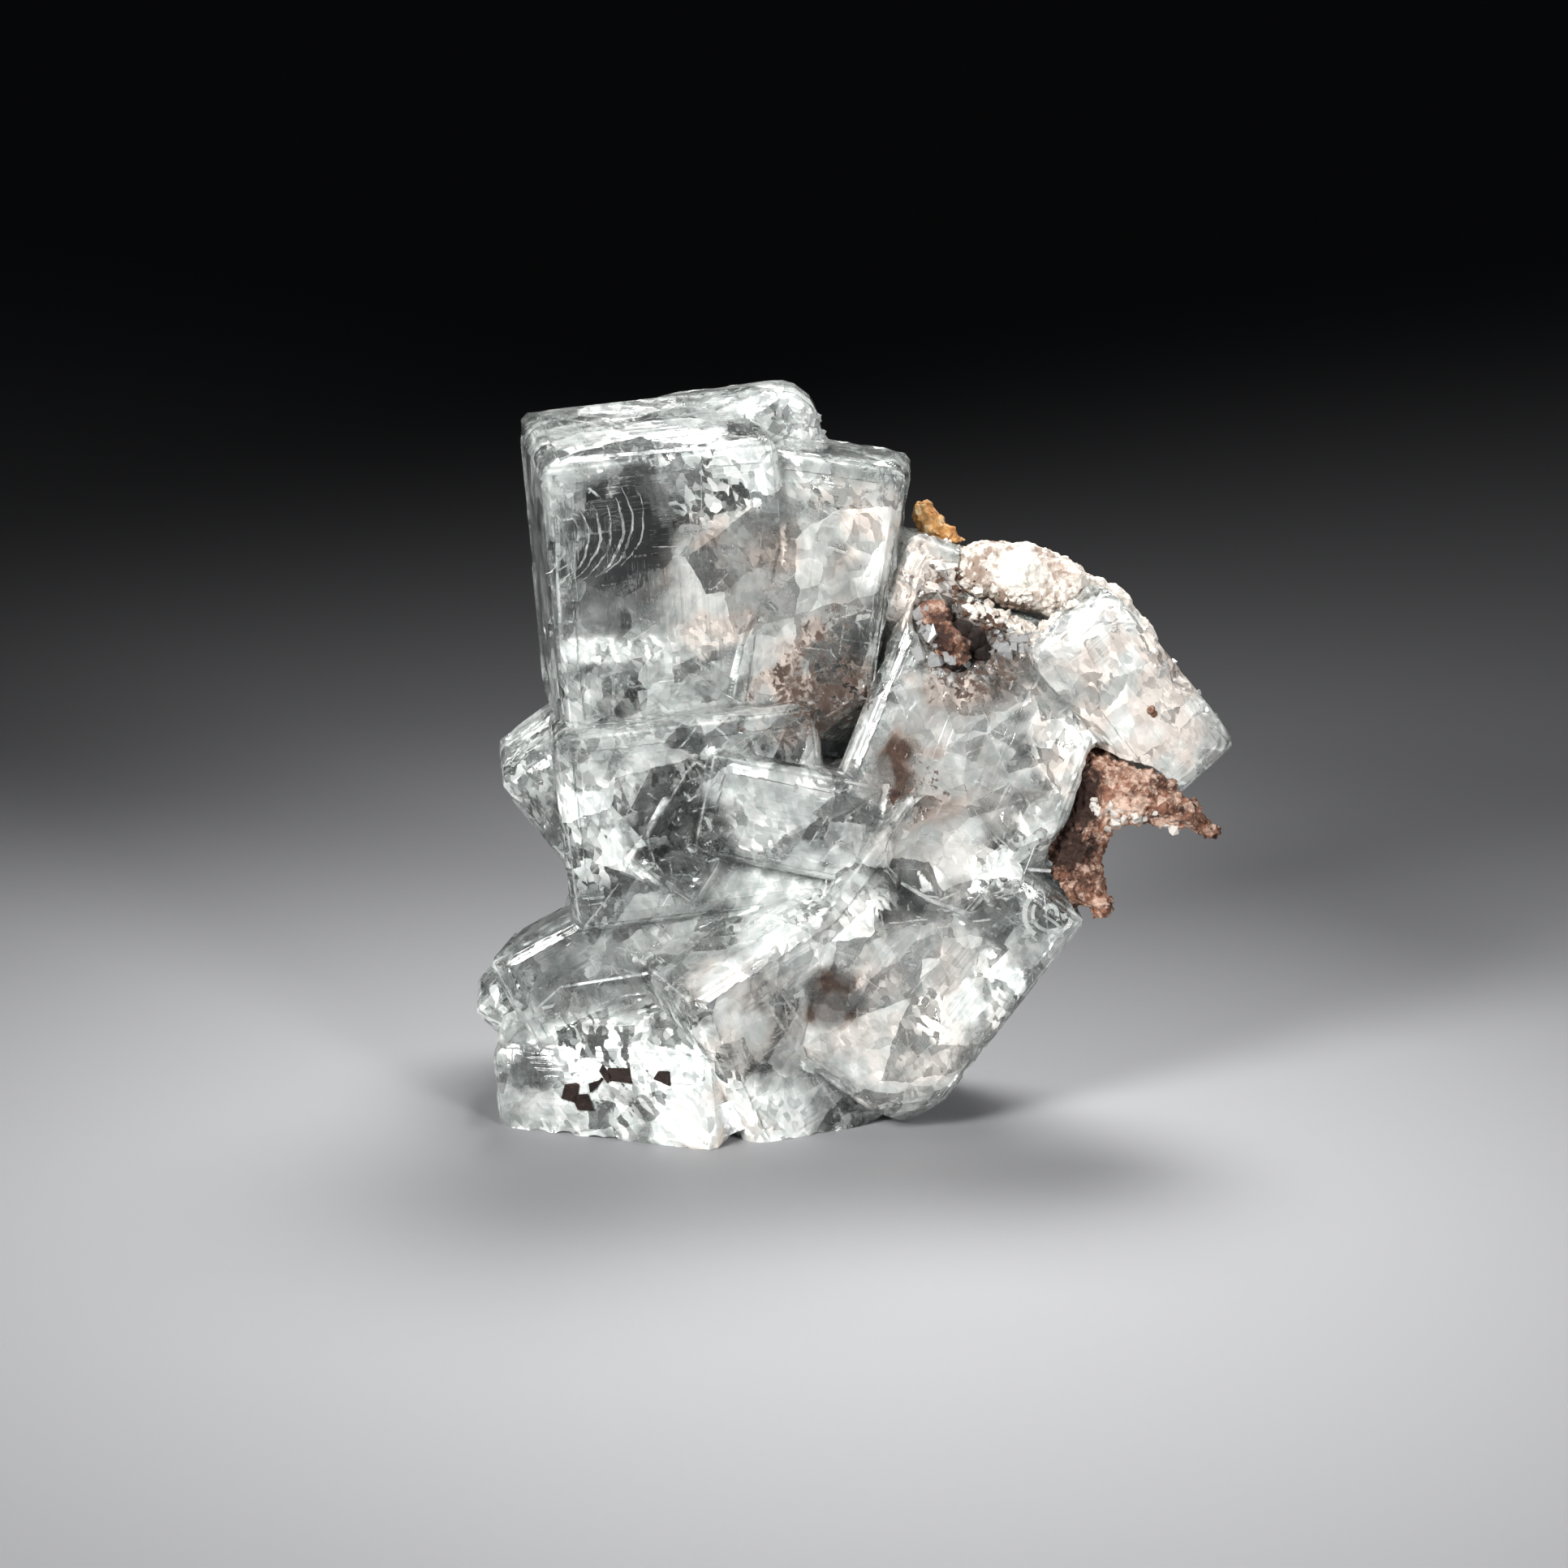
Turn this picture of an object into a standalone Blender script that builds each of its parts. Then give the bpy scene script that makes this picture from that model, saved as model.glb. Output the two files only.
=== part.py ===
"""A colourless fluorite specimen: cube-habit crystals grown through each other as one solid,
with a pale matrix crust, a rusty claw of matrix and two stained grains, each set in a socket of
its own.

Metres, +Z up, +X to the right, -Y to the front. The specimen stands on the flat it is trimmed
to, and its origin is under the middle of its bounding box, on that flat.
"""

import math

import bmesh
import bpy
from mathutils import Euler, Matrix, Vector, noise

MM = 0.001

# Driving dimensions, in millimetres.
SOCKET_GAP = 0.3  # free space between the cluster and each piece set in it
EDGE_CHAMFER = 0.4  # the natural rounding of a crystal's edges
TERRACE_STEP = 0.22  # how far a growth terrace stands above its face
TERRACE_INSET = 0.85  # how far a terrace's rim lies inside the face's edge
TERRACE_SHARE = 0.25  # least face with a terrace, as a share of the shortest side squared
GRAIN_CELL = 0.75  # grid that fuses the lumps of a rough piece
GRAIN_RELIEF = 0.35  # height of the bumps on a rough piece
GRAIN_WAVE = 1.6  # width of those bumps
BREAK_SUBDIVISIONS = 4  # fineness of the spheres that leave the conchoidal breaks
TRIM_BLOCK = 120.0  # block under the resting plane that trims the cluster flat

# Crystals: name, centre, size along the crystal's own axes, and turn as degrees about X
# (leaning back is negative), Y (leaning right is positive) and Z.
CRYSTALS = (
    ("tall_block", (-7.0, 2.1, 32.9), (14.0, 12.8, 18.8), (8, -5, 10)),
    ("right_block", (3.0, 1.2, 31.9), (8.4, 9.3, 17.6), (-2, 8, -5)),
    ("top_block", (-1.9, 8.0, 39.2), (10.2, 8.4, 8.4), (-1, -8, 1)),
    ("lower_block", (-5.0, -0.9, 19.2), (15.8, 12.0, 12.0), (-2, -6, 5)),
    ("side_cube", (-11.0, 9.0, 18.2), (9.2, 9.6, 10.0), (4, -36, 4)),
    ("middle_slab", (0.9, -4.2, 19.5), (10.8, 8.0, 6.2), (-4, 12, 3)),
    ("middle_cube", (-4.2, -3.6, 18.6), (5.0, 8.2, 7.8), (-4, 32, -8)),
    ("long_prism", (-8.2, -1.6, 10.4), (16.2, 9.6, 7.4), (-9, -29, 2)),
    ("left_tip", (-15.5, -0.4, 6.4), (4.4, 6.0, 4.6), (0, -45, 4)),
    ("foot_left", (-8.3, -3.4, 3.5), (14.4, 12.0, 8.0), (3, -4, -20)),
    ("foot_middle", (-0.4, -3.6, 6.4), (11.4, 12.0, 15.0), (6, -26, 24)),
    ("foot_right", (8.0, -2.0, 10.6), (13.5, 13.2, 17.4), (1, 37, 6)),
    ("right_core", (12.4, -0.4, 22.8), (13.6, 12.0, 14.6), (-19, 21, -6)),
    ("right_wing", (21.2, -2.5, 26.4), (12.6, 7.4, 6.4), (-1, 51, 15)),
    ("right_crest", (12.4, 1.8, 28.6), (12.0, 9.0, 8.6), (-6, 17, 14)),
    ("crest_step", (9.4, 0.0, 32.6), (4.6, 6.0, 5.6), (-4, 22, 8)),
    ("back_block", (5.5, 7.0, 24.0), (11.0, 9.0, 13.0), (6, 12, 18)),
    ("back_shoulder", (-1.0, 9.5, 27.5), (9.0, 8.0, 10.0), (-8, -14, -12)),
    ("back_cube", (2.0, 6.4, 12.9), (10.4, 11.0, 9.4), (14, 24, 30)),
    ("back_foot", (-8.5, 5.5, 5.5), (9.5, 8.0, 10.0), (-6, 14, 20)),
)

# Corners lost along the octahedral cleavage, and edges cut by a dodecahedral face (a zero in the
# corner): crystal, which corner or edge, and how deep the plane lies below it.
CLEAVED_CORNERS = (
    ("top_block", (1, 0, 1), 1.0),
    ("foot_left", (0, -1, 1), 1.7),
    ("top_block", (1, 1, 1), 1.4),
    ("right_block", (1, -1, -1), 2.2),
    ("foot_right", (1, -1, -1), 1.8),
    ("foot_right", (1, 1, -1), 3.4),
    ("right_core", (1, -1, -1), 2.4),
    ("right_wing", (-1, -1, 1), 1.2),
    ("right_crest", (1, 1, 1), 2.2),
    ("back_block", (1, 1, -1), 2.0),
    ("back_cube", (-1, 1, -1), 2.4),
)

# Conchoidal breaks, each a shallow dish left by a sphere: centre and radius.
CONCHOIDAL_BREAKS = (
    ((11.2, -12.0, 17.9), 5.2),
    ((15.5, -22.4, 26.6), 16.0),
    ((-6.5, 24.0, 12.0), 12.5),
)

# Rough pieces: the lumps that each is fused from, as (x, y, z, radius).
MATRIX_CRUST = (
    (11.4, -1.4, 33.6, 1.3),
    (13.0, -1.2, 33.7, 2.1),
    (15.2, -1.4, 33.3, 2.3),
    (17.4, -1.0, 32.6, 2.2),
    (19.2, -0.2, 31.5, 2.0),
    (20.6, 0.6, 30.7, 1.9),
    (22.5, 0.9, 28.9, 1.7),
    (14.8, 2.6, 32.2, 2.3),
    (17.6, 2.6, 31.0, 2.4),
    (16.2, 6.0, 29.8, 2.8),
    (18.4, 5.4, 27.2, 2.5),
)
MATRIX_CLAW = (
    (26.5, -7.3, 18.8, 0.85),
    (24.8, -6.9, 19.7, 1.35),
    (22.8, -6.3, 20.8, 1.7),
    (20.8, -5.6, 21.3, 1.75),
    (18.9, -4.4, 21.9, 1.9),
    (20.5, -5.9, 19.4, 1.3),
    (19.6, -6.1, 18.2, 1.3),
    (18.3, -4.6, 20.4, 1.8),
    (18.0, -4.6, 18.3, 1.9),
    (18.4, -5.9, 16.6, 1.6),
    (19.2, -6.6, 15.1, 1.35),
    (20.0, -7.2, 14.2, 1.05),
)
RUSTY_GRAIN = (
    (9.6, -4.2, 31.6, 1.1),
    (10.4, -4.6, 30.4, 1.3),
    (11.4, -5.0, 29.4, 1.0),
)
OCHRE_GRAIN = (
    (9.3, 0.6, 37.0, 0.8),
    (10.0, 0.2, 36.0, 1.1),
    (11.3, 0.6, 35.4, 0.8),
)

FLUORITE_COLOUR = (0.86, 0.88, 0.87, 1.0)
CRUST_COLOUR = (0.72, 0.58, 0.48, 1.0)
RUST_COLOUR = (0.36, 0.13, 0.07, 1.0)
OCHRE_COLOUR = (0.62, 0.33, 0.14, 1.0)
FLUORITE_IOR = 1.434
ROCK_IOR = 1.5


def at(point):
    """A point given in millimetres, in metres."""
    return Vector(point) * MM


def placed(centre, turn):
    """The matrix of a piece at centre, turned by degrees about X, Y and Z."""
    angles = [math.radians(degrees) for degrees in turn]
    return Matrix.Translation(at(centre)) @ Euler(angles).to_matrix().to_4x4()


def new_collection(name, is_cutter):
    collection = bpy.data.collections.new(name)
    collection.hide_render = is_cutter
    bpy.context.scene.collection.children.link(collection)
    return collection


def new_object(name, bm, collection, parent):
    mesh = bpy.data.meshes.new(name)
    bm.to_mesh(mesh)
    bm.free()
    item = bpy.data.objects.new(name, mesh)
    item.parent = parent
    collection.objects.link(item)
    return item


def as_cutter(item):
    item.hide_render = True
    item.display_type = "WIRE"
    return item


def new_material(name, colour, roughness, transmission=0.0):
    material = bpy.data.materials.new(name)
    material.use_nodes = True
    shader = material.node_tree.nodes["Principled BSDF"]
    shader.inputs["Base Color"].default_value = colour
    shader.inputs["Roughness"].default_value = roughness
    shader.inputs["Metallic"].default_value = 0.0
    shader.inputs["Transmission Weight"].default_value = transmission
    shader.inputs["IOR"].default_value = FLUORITE_IOR if transmission else ROCK_IOR
    return material


def cleave(bm, size, corner, depth):
    """Cut a corner off along the octahedral plane that lies depth below it."""
    outward = Vector(corner).normalized()
    tip = Vector([side * length / 2 for side, length in zip(corner, size)]) * MM
    cut = bmesh.ops.bisect_plane(
        bm,
        geom=bm.verts[:] + bm.edges[:] + bm.faces[:],
        plane_co=tip - outward * depth * MM,
        plane_no=outward,
        clear_outer=True,
    )
    rim = [item for item in cut["geom_cut"] if isinstance(item, bmesh.types.BMEdge)]
    bmesh.ops.contextual_create(bm, geom=rim)


def crystal(name, centre, size, turn):
    """A cube-habit crystal with chamfered edges and a raised growth terrace on each face."""
    bm = bmesh.new()
    bmesh.ops.create_cube(bm, size=1.0)
    bmesh.ops.scale(bm, vec=at(size), verts=bm.verts)
    for owner, corner, depth in CLEAVED_CORNERS:
        if owner == name:
            cleave(bm, size, corner, depth)
    bmesh.ops.bevel(
        bm,
        geom=bm.edges[:],
        offset=EDGE_CHAMFER * MM,
        segments=1,
        profile=0.5,
        affect="EDGES",
        clamp_overlap=True,
    )
    least_area = TERRACE_SHARE * (min(size) * MM) ** 2
    terraced = [face for face in bm.faces if face.calc_area() > least_area]
    bmesh.ops.inset_individual(
        bm,
        faces=terraced,
        thickness=TERRACE_INSET * MM,
        depth=TERRACE_STEP * MM,
    )
    bmesh.ops.transform(bm, matrix=placed(centre, turn), verts=bm.verts)
    return bm


def fused_lumps(lumps):
    """One closed mesh that fuses overlapping lumps, through a voxel Remesh."""
    bm = bmesh.new()
    for x, y, z, radius in lumps:
        bmesh.ops.create_icosphere(
            bm, subdivisions=2, radius=radius * MM, matrix=Matrix.Translation(at((x, y, z)))
        )
    mesh = bpy.data.meshes.new("lumps")
    bm.to_mesh(mesh)
    bm.free()
    item = bpy.data.objects.new("lumps", mesh)
    bpy.context.scene.collection.objects.link(item)
    remesh = item.modifiers.new("fuse", "REMESH")
    remesh.mode = "VOXEL"
    remesh.voxel_size = GRAIN_CELL * MM
    bpy.context.view_layer.update()
    evaluated = item.evaluated_get(bpy.context.evaluated_depsgraph_get())
    fused = bmesh.new()
    fused.from_mesh(evaluated.to_mesh())
    evaluated.to_mesh_clear()
    bpy.data.objects.remove(item)
    return fused


def roughen(bm, seed):
    """Raise the bumps of a rough piece along its normals."""
    bm.normal_update()
    moves = []
    for vert in bm.verts:
        spot = vert.co / (GRAIN_WAVE * MM) + Vector((seed, 2 * seed, 3 * seed))
        moves.append(vert.normal * noise.noise(spot) * GRAIN_RELIEF * MM)
    for vert, move in zip(bm.verts, moves):
        vert.co += move
    bmesh.ops.triangulate(bm, faces=bm.faces[:])


def swell(bm, distance):
    bm.normal_update()
    moves = [vert.normal * distance * MM for vert in bm.verts]
    for vert, move in zip(bm.verts, moves):
        vert.co += move


def rough_piece(name, lumps, seed, material, collection, sockets, root):
    """A rough piece, and the socket cutter that keeps the cluster clear of it."""
    bm = fused_lumps(lumps)
    roughen(bm, seed)
    grown = bm.copy()
    swell(grown, SOCKET_GAP)
    as_cutter(new_object(name + "_socket", grown, sockets, root))
    piece = new_object(name, bm, collection, root)
    piece.data.materials.append(material)
    return piece


def boolean(item, name, operation, collection):
    modifier = item.modifiers.new(name, "BOOLEAN")
    modifier.operation = operation
    modifier.solver = "EXACT"
    modifier.operand_type = "COLLECTION"
    modifier.collection = collection


def dish(centre, radius):
    """The sphere that leaves one conchoidal break."""
    bm = bmesh.new()
    bmesh.ops.create_icosphere(
        bm,
        subdivisions=BREAK_SUBDIVISIONS,
        radius=radius * MM,
        matrix=Matrix.Translation(at(centre)),
    )
    return bm


def trim_block():
    """The block under the resting plane."""
    bm = bmesh.new()
    bmesh.ops.create_cube(bm, size=TRIM_BLOCK * MM)
    bmesh.ops.translate(bm, vec=at((0, 0, -TRIM_BLOCK / 2)), verts=bm.verts)
    return bm


def stand_on_origin(root, pieces):
    """Move the root so that the middle of the bounding box's underside is the origin."""
    bpy.context.view_layer.update()
    graph = bpy.context.evaluated_depsgraph_get()
    points = []
    for item in pieces:
        evaluated = item.evaluated_get(graph)
        points += [item.matrix_world @ Vector(corner) for corner in evaluated.bound_box]
    low = Vector([min(point[axis] for point in points) for axis in range(3)])
    high = Vector([max(point[axis] for point in points) for axis in range(3)])
    middle = (low + high) / 2
    root.location = (-middle.x, -middle.y, -low.z)


def main():
    for item in list(bpy.data.objects):
        bpy.data.objects.remove(item)
    root = bpy.data.objects.new("specimen", None)
    bpy.context.scene.collection.objects.link(root)
    specimen = new_collection("fluorite_specimen", is_cutter=False)
    growths = new_collection("growths", is_cutter=True)
    sockets = new_collection("sockets", is_cutter=True)

    crust = new_material("matrix crust", CRUST_COLOUR, roughness=0.85)
    rust = new_material("rusty matrix", RUST_COLOUR, roughness=0.75)
    ochre = new_material("ochre grain", OCHRE_COLOUR, roughness=0.8)
    pieces = [
        rough_piece("matrix_crust", MATRIX_CRUST, 1, crust, specimen, sockets, root),
        rough_piece("matrix_claw", MATRIX_CLAW, 2, rust, specimen, sockets, root),
        rough_piece("rusty_grain", RUSTY_GRAIN, 4, rust, specimen, sockets, root),
        rough_piece("ochre_grain", OCHRE_GRAIN, 5, ochre, specimen, sockets, root),
    ]

    cluster = new_object("fluorite_cluster", crystal(*CRYSTALS[0]), specimen, root)
    for row in CRYSTALS[1:]:
        as_cutter(new_object(row[0], crystal(*row), growths, root))
    as_cutter(new_object("resting_plane", trim_block(), sockets, root))
    for number, row in enumerate(CONCHOIDAL_BREAKS, start=1):
        as_cutter(new_object(f"break_{number}", dish(*row), sockets, root))
    boolean(cluster, "grow together", "UNION", growths)
    boolean(cluster, "trim and sockets", "DIFFERENCE", sockets)
    fluorite = new_material("fluorite", FLUORITE_COLOUR, roughness=0.05, transmission=1.0)
    cluster.data.materials.append(fluorite)
    stand_on_origin(root, [cluster] + pieces)


main()
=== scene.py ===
"""The looks of the fluorite specimen: clear crystals with growth steps, cleavage cracks, veils and
rusty inclusions inside, on a plain pale floor in soft studio light."""

import math

import bmesh
import bpy
import numpy as np
from mathutils import Euler, Matrix, Vector, noise
from mathutils.bvhtree import BVHTree


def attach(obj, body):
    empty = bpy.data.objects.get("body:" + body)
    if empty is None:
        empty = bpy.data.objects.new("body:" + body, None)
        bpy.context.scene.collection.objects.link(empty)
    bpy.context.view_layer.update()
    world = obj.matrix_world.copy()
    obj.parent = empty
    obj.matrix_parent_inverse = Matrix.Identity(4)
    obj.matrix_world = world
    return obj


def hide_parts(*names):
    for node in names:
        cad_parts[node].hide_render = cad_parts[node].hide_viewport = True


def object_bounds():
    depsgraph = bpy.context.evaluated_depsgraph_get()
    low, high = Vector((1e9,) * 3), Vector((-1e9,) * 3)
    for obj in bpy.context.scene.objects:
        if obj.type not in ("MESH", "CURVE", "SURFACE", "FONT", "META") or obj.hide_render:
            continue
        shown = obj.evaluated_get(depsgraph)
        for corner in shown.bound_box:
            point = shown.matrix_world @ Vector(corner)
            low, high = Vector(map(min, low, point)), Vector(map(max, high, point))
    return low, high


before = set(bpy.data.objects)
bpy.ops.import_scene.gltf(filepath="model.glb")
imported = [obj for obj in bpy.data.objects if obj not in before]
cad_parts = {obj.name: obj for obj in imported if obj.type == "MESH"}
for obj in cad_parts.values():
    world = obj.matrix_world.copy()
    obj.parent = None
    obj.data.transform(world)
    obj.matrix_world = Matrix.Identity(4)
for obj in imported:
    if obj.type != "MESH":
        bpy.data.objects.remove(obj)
cad_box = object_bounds()
box_low, box_high = (np.array(corner) for corner in cad_box)

MM = 0.001

# The crystals were laid out in millimetres about a point on the floor under the cluster's front;
# this is where that point lies from the part's origin.
LAYOUT_ORIGIN = Vector((-4.749, -1.108, 0.0)) * MM

# The camera, in the layout's millimetres.
CAMERA_PLACE = (0.82, -215.49, 71.56)
CAMERA_TILT = 13.4486  # degrees below level
CAMERA_LENS = 81.9876  # on a 36 mm sensor

# The studio, in metres and watts: each light's name, place, aim, size, power and spread in degrees.
LIGHTS = (
    ("key", (-0.22, -0.26, 0.21), (0.0, 0.0, 0.022), (0.13, 0.13), 0.105, 40),
    ("fill", (0.16, -0.24, 0.13), (0.0, 0.0, 0.022), (0.07, 0.12), 0.026, 36),
    ("top", (0.03, 0.09, 0.20), (0.0, -0.01, 0.03), (0.12, 0.08), 0.055, 50),
)
FLOOR_REACH = 8.0
FLOOR_COLOUR = (0.36, 0.36, 0.37)
ROOM_COLOUR = (0.008, 0.0085, 0.0095)
LIGHT_BOUNCES = 12

# The crystals: centre, size along the crystal's own axes and turn in degrees, as in the CAD part.
CRYSTALS = {
    "tall_block": ((-7.0, 2.1, 32.9), (14.0, 12.8, 18.8), (8, -5, 10)),
    "right_block": ((3.0, 1.2, 31.9), (8.4, 9.3, 17.6), (-2, 8, -5)),
    "top_block": ((-1.9, 8.0, 39.2), (10.2, 8.4, 8.4), (-1, -8, 1)),
    "lower_block": ((-5.0, -0.9, 19.2), (15.8, 12.0, 12.0), (-2, -6, 5)),
    "side_cube": ((-11.0, 9.0, 18.2), (9.2, 9.6, 10.0), (4, -36, 4)),
    "middle_slab": ((0.9, -4.2, 19.5), (10.8, 8.0, 6.2), (-4, 12, 3)),
    "middle_cube": ((-4.2, -3.6, 18.6), (5.0, 8.2, 7.8), (-4, 32, -8)),
    "long_prism": ((-8.2, -1.6, 10.4), (16.2, 9.6, 7.4), (-9, -29, 2)),
    "left_tip": ((-15.5, -0.4, 6.4), (4.4, 6.0, 4.6), (0, -45, 4)),
    "foot_left": ((-8.3, -3.4, 3.5), (14.4, 12.0, 8.0), (3, -4, -20)),
    "foot_middle": ((-0.4, -3.6, 6.4), (11.4, 12.0, 15.0), (6, -26, 24)),
    "foot_right": ((8.0, -2.0, 10.6), (13.5, 13.2, 17.4), (1, 37, 6)),
    "right_core": ((12.4, -0.4, 22.8), (13.6, 12.0, 14.6), (-19, 21, -6)),
    "right_wing": ((21.2, -2.5, 26.4), (12.6, 7.4, 6.4), (-1, 51, 15)),
    "right_crest": ((12.4, 1.8, 28.6), (12.0, 9.0, 8.6), (-6, 17, 14)),
    "crest_step": ((9.4, 0.0, 32.6), (4.6, 6.0, 5.6), (-4, 22, 8)),
    "back_block": ((5.5, 7.0, 24.0), (11.0, 9.0, 13.0), (6, 12, 18)),
    "back_shoulder": ((-1.0, 9.5, 27.5), (9.0, 8.0, 10.0), (-8, -14, -12)),
    "back_cube": ((2.0, 6.4, 12.9), (10.4, 11.0, 9.4), (14, 24, 30)),
    "back_foot": ((-8.5, 5.5, 5.5), (9.5, 8.0, 10.0), (-6, 14, 20)),
}

FLUORITE_IOR = 1.434
MILKIEST = 0.92  # the skin never loses more of its clearness than this
# Colours of the skin where it is milky, iron-stained, rusty and speckled.
MILK_TINTS = (0.72, 0.78, 0.76), (0.96, 0.98, 0.96)
ROSE_TINTS = (0.66, 0.54, 0.47), (0.86, 0.76, 0.68)
RUST_TINT = (0.33, 0.25, 0.21)
SPECK_TINTS = (0.03, 0.022, 0.02), (0.22, 0.16, 0.13)
# Widths of the patterns in the skin, in millimetres.
FACET_WIDTH = 3.2
SLIVER_WIDTH = 0.36
STREAK_WIDTH = 0.9
SPECK_WIDTH = 0.4
SKIN_EDGE = 0.42  # longest edge of the crystals' fine mesh at the front, in millimetres
SKIN_EDGE_BEHIND = 1.0
FRONT_ENDS_AT = 2.0  # along Y
ROCK_EDGE = 0.18
BROAD_SWELL = 0.12  # how far the rock swells and sinks over a few millimetres
# Growth steps round each crystal face: how many, how wide and how high, how far in from the edge
# the first one is and the rise's own width, in millimetres.
STEPS = 5
STEP_WIDTH = 0.75
STEP_HEIGHT = 0.03
FIRST_STEP = 0.9
STEP_RISE = 0.2
# A point is taken for one of a crystal's own face when it is this near to it, in millimetres; one
# on no face is given the deep inset.
NEAR_FACE = 0.45
DEEP_INSET = 3.0
# Chips in the sharp edges: how many and the largest, in millimetres.
CHIPS = 150
LARGEST_CHIP = 1.1
# How many of each are strewn inside the crystals.
CRACKS_EACH = 5
FLAKES = 900
SHEETS = 1500
GLINTS = 6000
LINES = 4200
# In millimetres: how deep under the skin the veils and the curved walls lie, and how thick the
# sealed-in sheets and ribbons are.
VEIL_DEPTH = 0.3
WALL_DEPTH = 0.25
VEIL_THICKNESS = 0.06
SHEET_THICKNESS = 0.03
GLINT_THICKNESS = 0.02
RIDGE_THICKNESS = 0.06
ARC_THICKNESS = 0.04
LINE_THICKNESS = 0.03

# Rough rock: name, dark, middle and pale tones, width of its grains in millimetres and the share
# that is pale.
EARTHS = (
    ("rusty rock", (0.05, 0.028, 0.022), (0.26, 0.13, 0.085), (0.58, 0.44, 0.36), 0.4, 0.4),
    ("ochre", (0.30, 0.12, 0.04), (0.62, 0.34, 0.13), (0.85, 0.68, 0.45), 0.4, 0.36),
    ("cream crust", (0.34, 0.26, 0.21), (0.54, 0.46, 0.40), (0.76, 0.72, 0.66), 0.6, 0.55),
    ("brown inclusion", (0.03, 0.02, 0.018), (0.12, 0.07, 0.05), (0.36, 0.24, 0.17), 0.4, 0.35),
    ("dark grain", (0.012, 0.009, 0.008), (0.035, 0.022, 0.018), (0.14, 0.09, 0.07), 0.4, 0.3),
)

# Looks that change over the cluster. Each entry is a place of the layout, how far it reaches in
# millimetres and the value there; the first number of each table is the value everywhere else.
BORDER = 0.5  # how wide a place's soft border is, as a share of its reach
# Haze: how much of the skin is broken into milky grains.
HAZE = (0.34, (
    ("tall block, top face", (-10.0, 1.0, 42.3), 5.5, 0.4),
    ("top block, right end", (0.5, 4.5, 42.6), 3.4, 0.8),
    ("beside the dark window", (-3.6, -4.8, 39.8), 3.2, 0.72),
    ("white patch beside it", (-0.9, -4.5, 39.8), 1.8, 0.95),
    ("right block, top", (4.0, -3.5, 39.6), 3.2, 0.5),
    ("right block, right edge", (6.8, -3.0, 36.0), 2.6, 0.5),
    ("crest", (9.2, -3.2, 33.4), 2.4, 0.5),
    ("tall block, rosy middle", (-3.0, -4.2, 33.5), 3.5, 0.45),
    ("right block, rosy middle", (2.0, -3.6, 31.8), 3.5, 0.4),
    ("tall block, lower left", (-9.0, -4.3, 26.6), 4.0, 0.5),
    ("granular zone", (2.0, -4.0, 27.0), 3.2, 0.42),
    ("lower block", (-8.0, -7.2, 23.6), 4.0, 0.4),
    ("lower block, right", (-1.0, -7.0, 24.0), 3.5, 0.45),
    ("side cube", (-15.8, 6.5, 20.6), 4.0, 0.7),
    ("silvery wedge", (-10.4, -7.6, 18.6), 3.2, 0.75),
    ("middle slab", (0.0, -8.5, 20.5), 4.0, 0.45),
    ("left tip", (-16.6, -3.7, 6.8), 2.2, 0.7),
    ("left foot", (-10.5, -9.0, 4.6), 4.4, 0.72),
    ("left foot, right end", (-5.8, -11.0, 5.4), 3.4, 0.85),
    ("left foot, bottom", (-13.4, -8.0, 1.0), 2.6, 0.45),
    ("left foot, glassy corner", (-14.6, -7.4, 3.9), 1.5, 0.08),
    ("long prism, front", (-12.6, -6.8, 9.2), 2.6, 0.1),
    ("long prism, front", (-9.4, -6.8, 9.4), 2.0, 0.14),
    ("bottom wedge", (-2.5, -10.8, 1.6), 4.4, 1.15),
    ("middle foot", (1.0, -9.8, 6.5), 4.0, 0.42),
    ("beige column", (-3.0, -11.5, 10.4), 1.6, 0.3),
    ("beige column, low", (-1.6, -11.4, 7.4), 1.7, 0.35),
    ("below the slab", (2.5, -8.5, 13.5), 4.0, 0.5),
    ("right foot", (8.5, -8.8, 7.5), 5.2, 0.4),
    ("right foot, crushed patch", (10.6, -8.6, 8.0), 2.0, 0.8),
    ("right foot, white triangle, top", (13.2, -8.3, 11.0), 0.8, 1.3),
    ("right foot, white triangle", (14.3, -8.3, 9.4), 1.1, 1.35),
    ("right foot, white triangle, low", (13.9, -8.3, 7.8), 0.8, 1.3),
    ("right mass, rim", (14.5, -7.6, 17.8), 2.4, 0.75),
    ("right mass, middle", (10.5, -6.8, 22.0), 5.0, 0.26),
    ("right wing", (21.5, -6.4, 26.5), 6.0, 0.5),
    ("right wing, notch", (18.1, -6.5, 23.9), 1.8, 1.0),
    ("right wing, top", (20.0, -6.4, 31.0), 3.2, 0.78),
    ("under the crust", (12.0, -5.0, 29.2), 2.6, 0.6),
    ("dark window", (-9.6, -5.6, 36.3), 3.9, 0.0),
    ("behind the dark window", (-9.0, 8.5, 35.0), 6.5, 0.03),
    # The bright band is a highlight on the tall block's front face, painted in as milk.
    ("painted highlight band, left", (-11.6, -4.8, 29.4), 0.75, 1.3),
    ("painted highlight band, middle", (-10.2, -4.6, 29.5), 0.75, 1.3),
    ("painted highlight band, middle", (-8.7, -4.4, 29.4), 0.7, 1.3),
    ("painted highlight band, right", (-7.2, -4.2, 29.5), 0.65, 1.2),
    ("dark window, low", (-8.8, -5.0, 32.6), 2.6, 0.12),
    ("middle cube", (-5.4, -7.8, 18.4), 3.4, 0.04),
    ("long prism, top face", (-13.0, -1.6, 11.9), 3.6, 0.08),
    ("ring-like hollow", (16.9, -7.9, 13.9), 1.4, 0.03),
    ("brown flame", (7.2, -7.0, 22.6), 2.0, 0.15),
    ("brown patch", (3.9, -9.2, 9.0), 1.9, 0.1),
))
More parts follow.
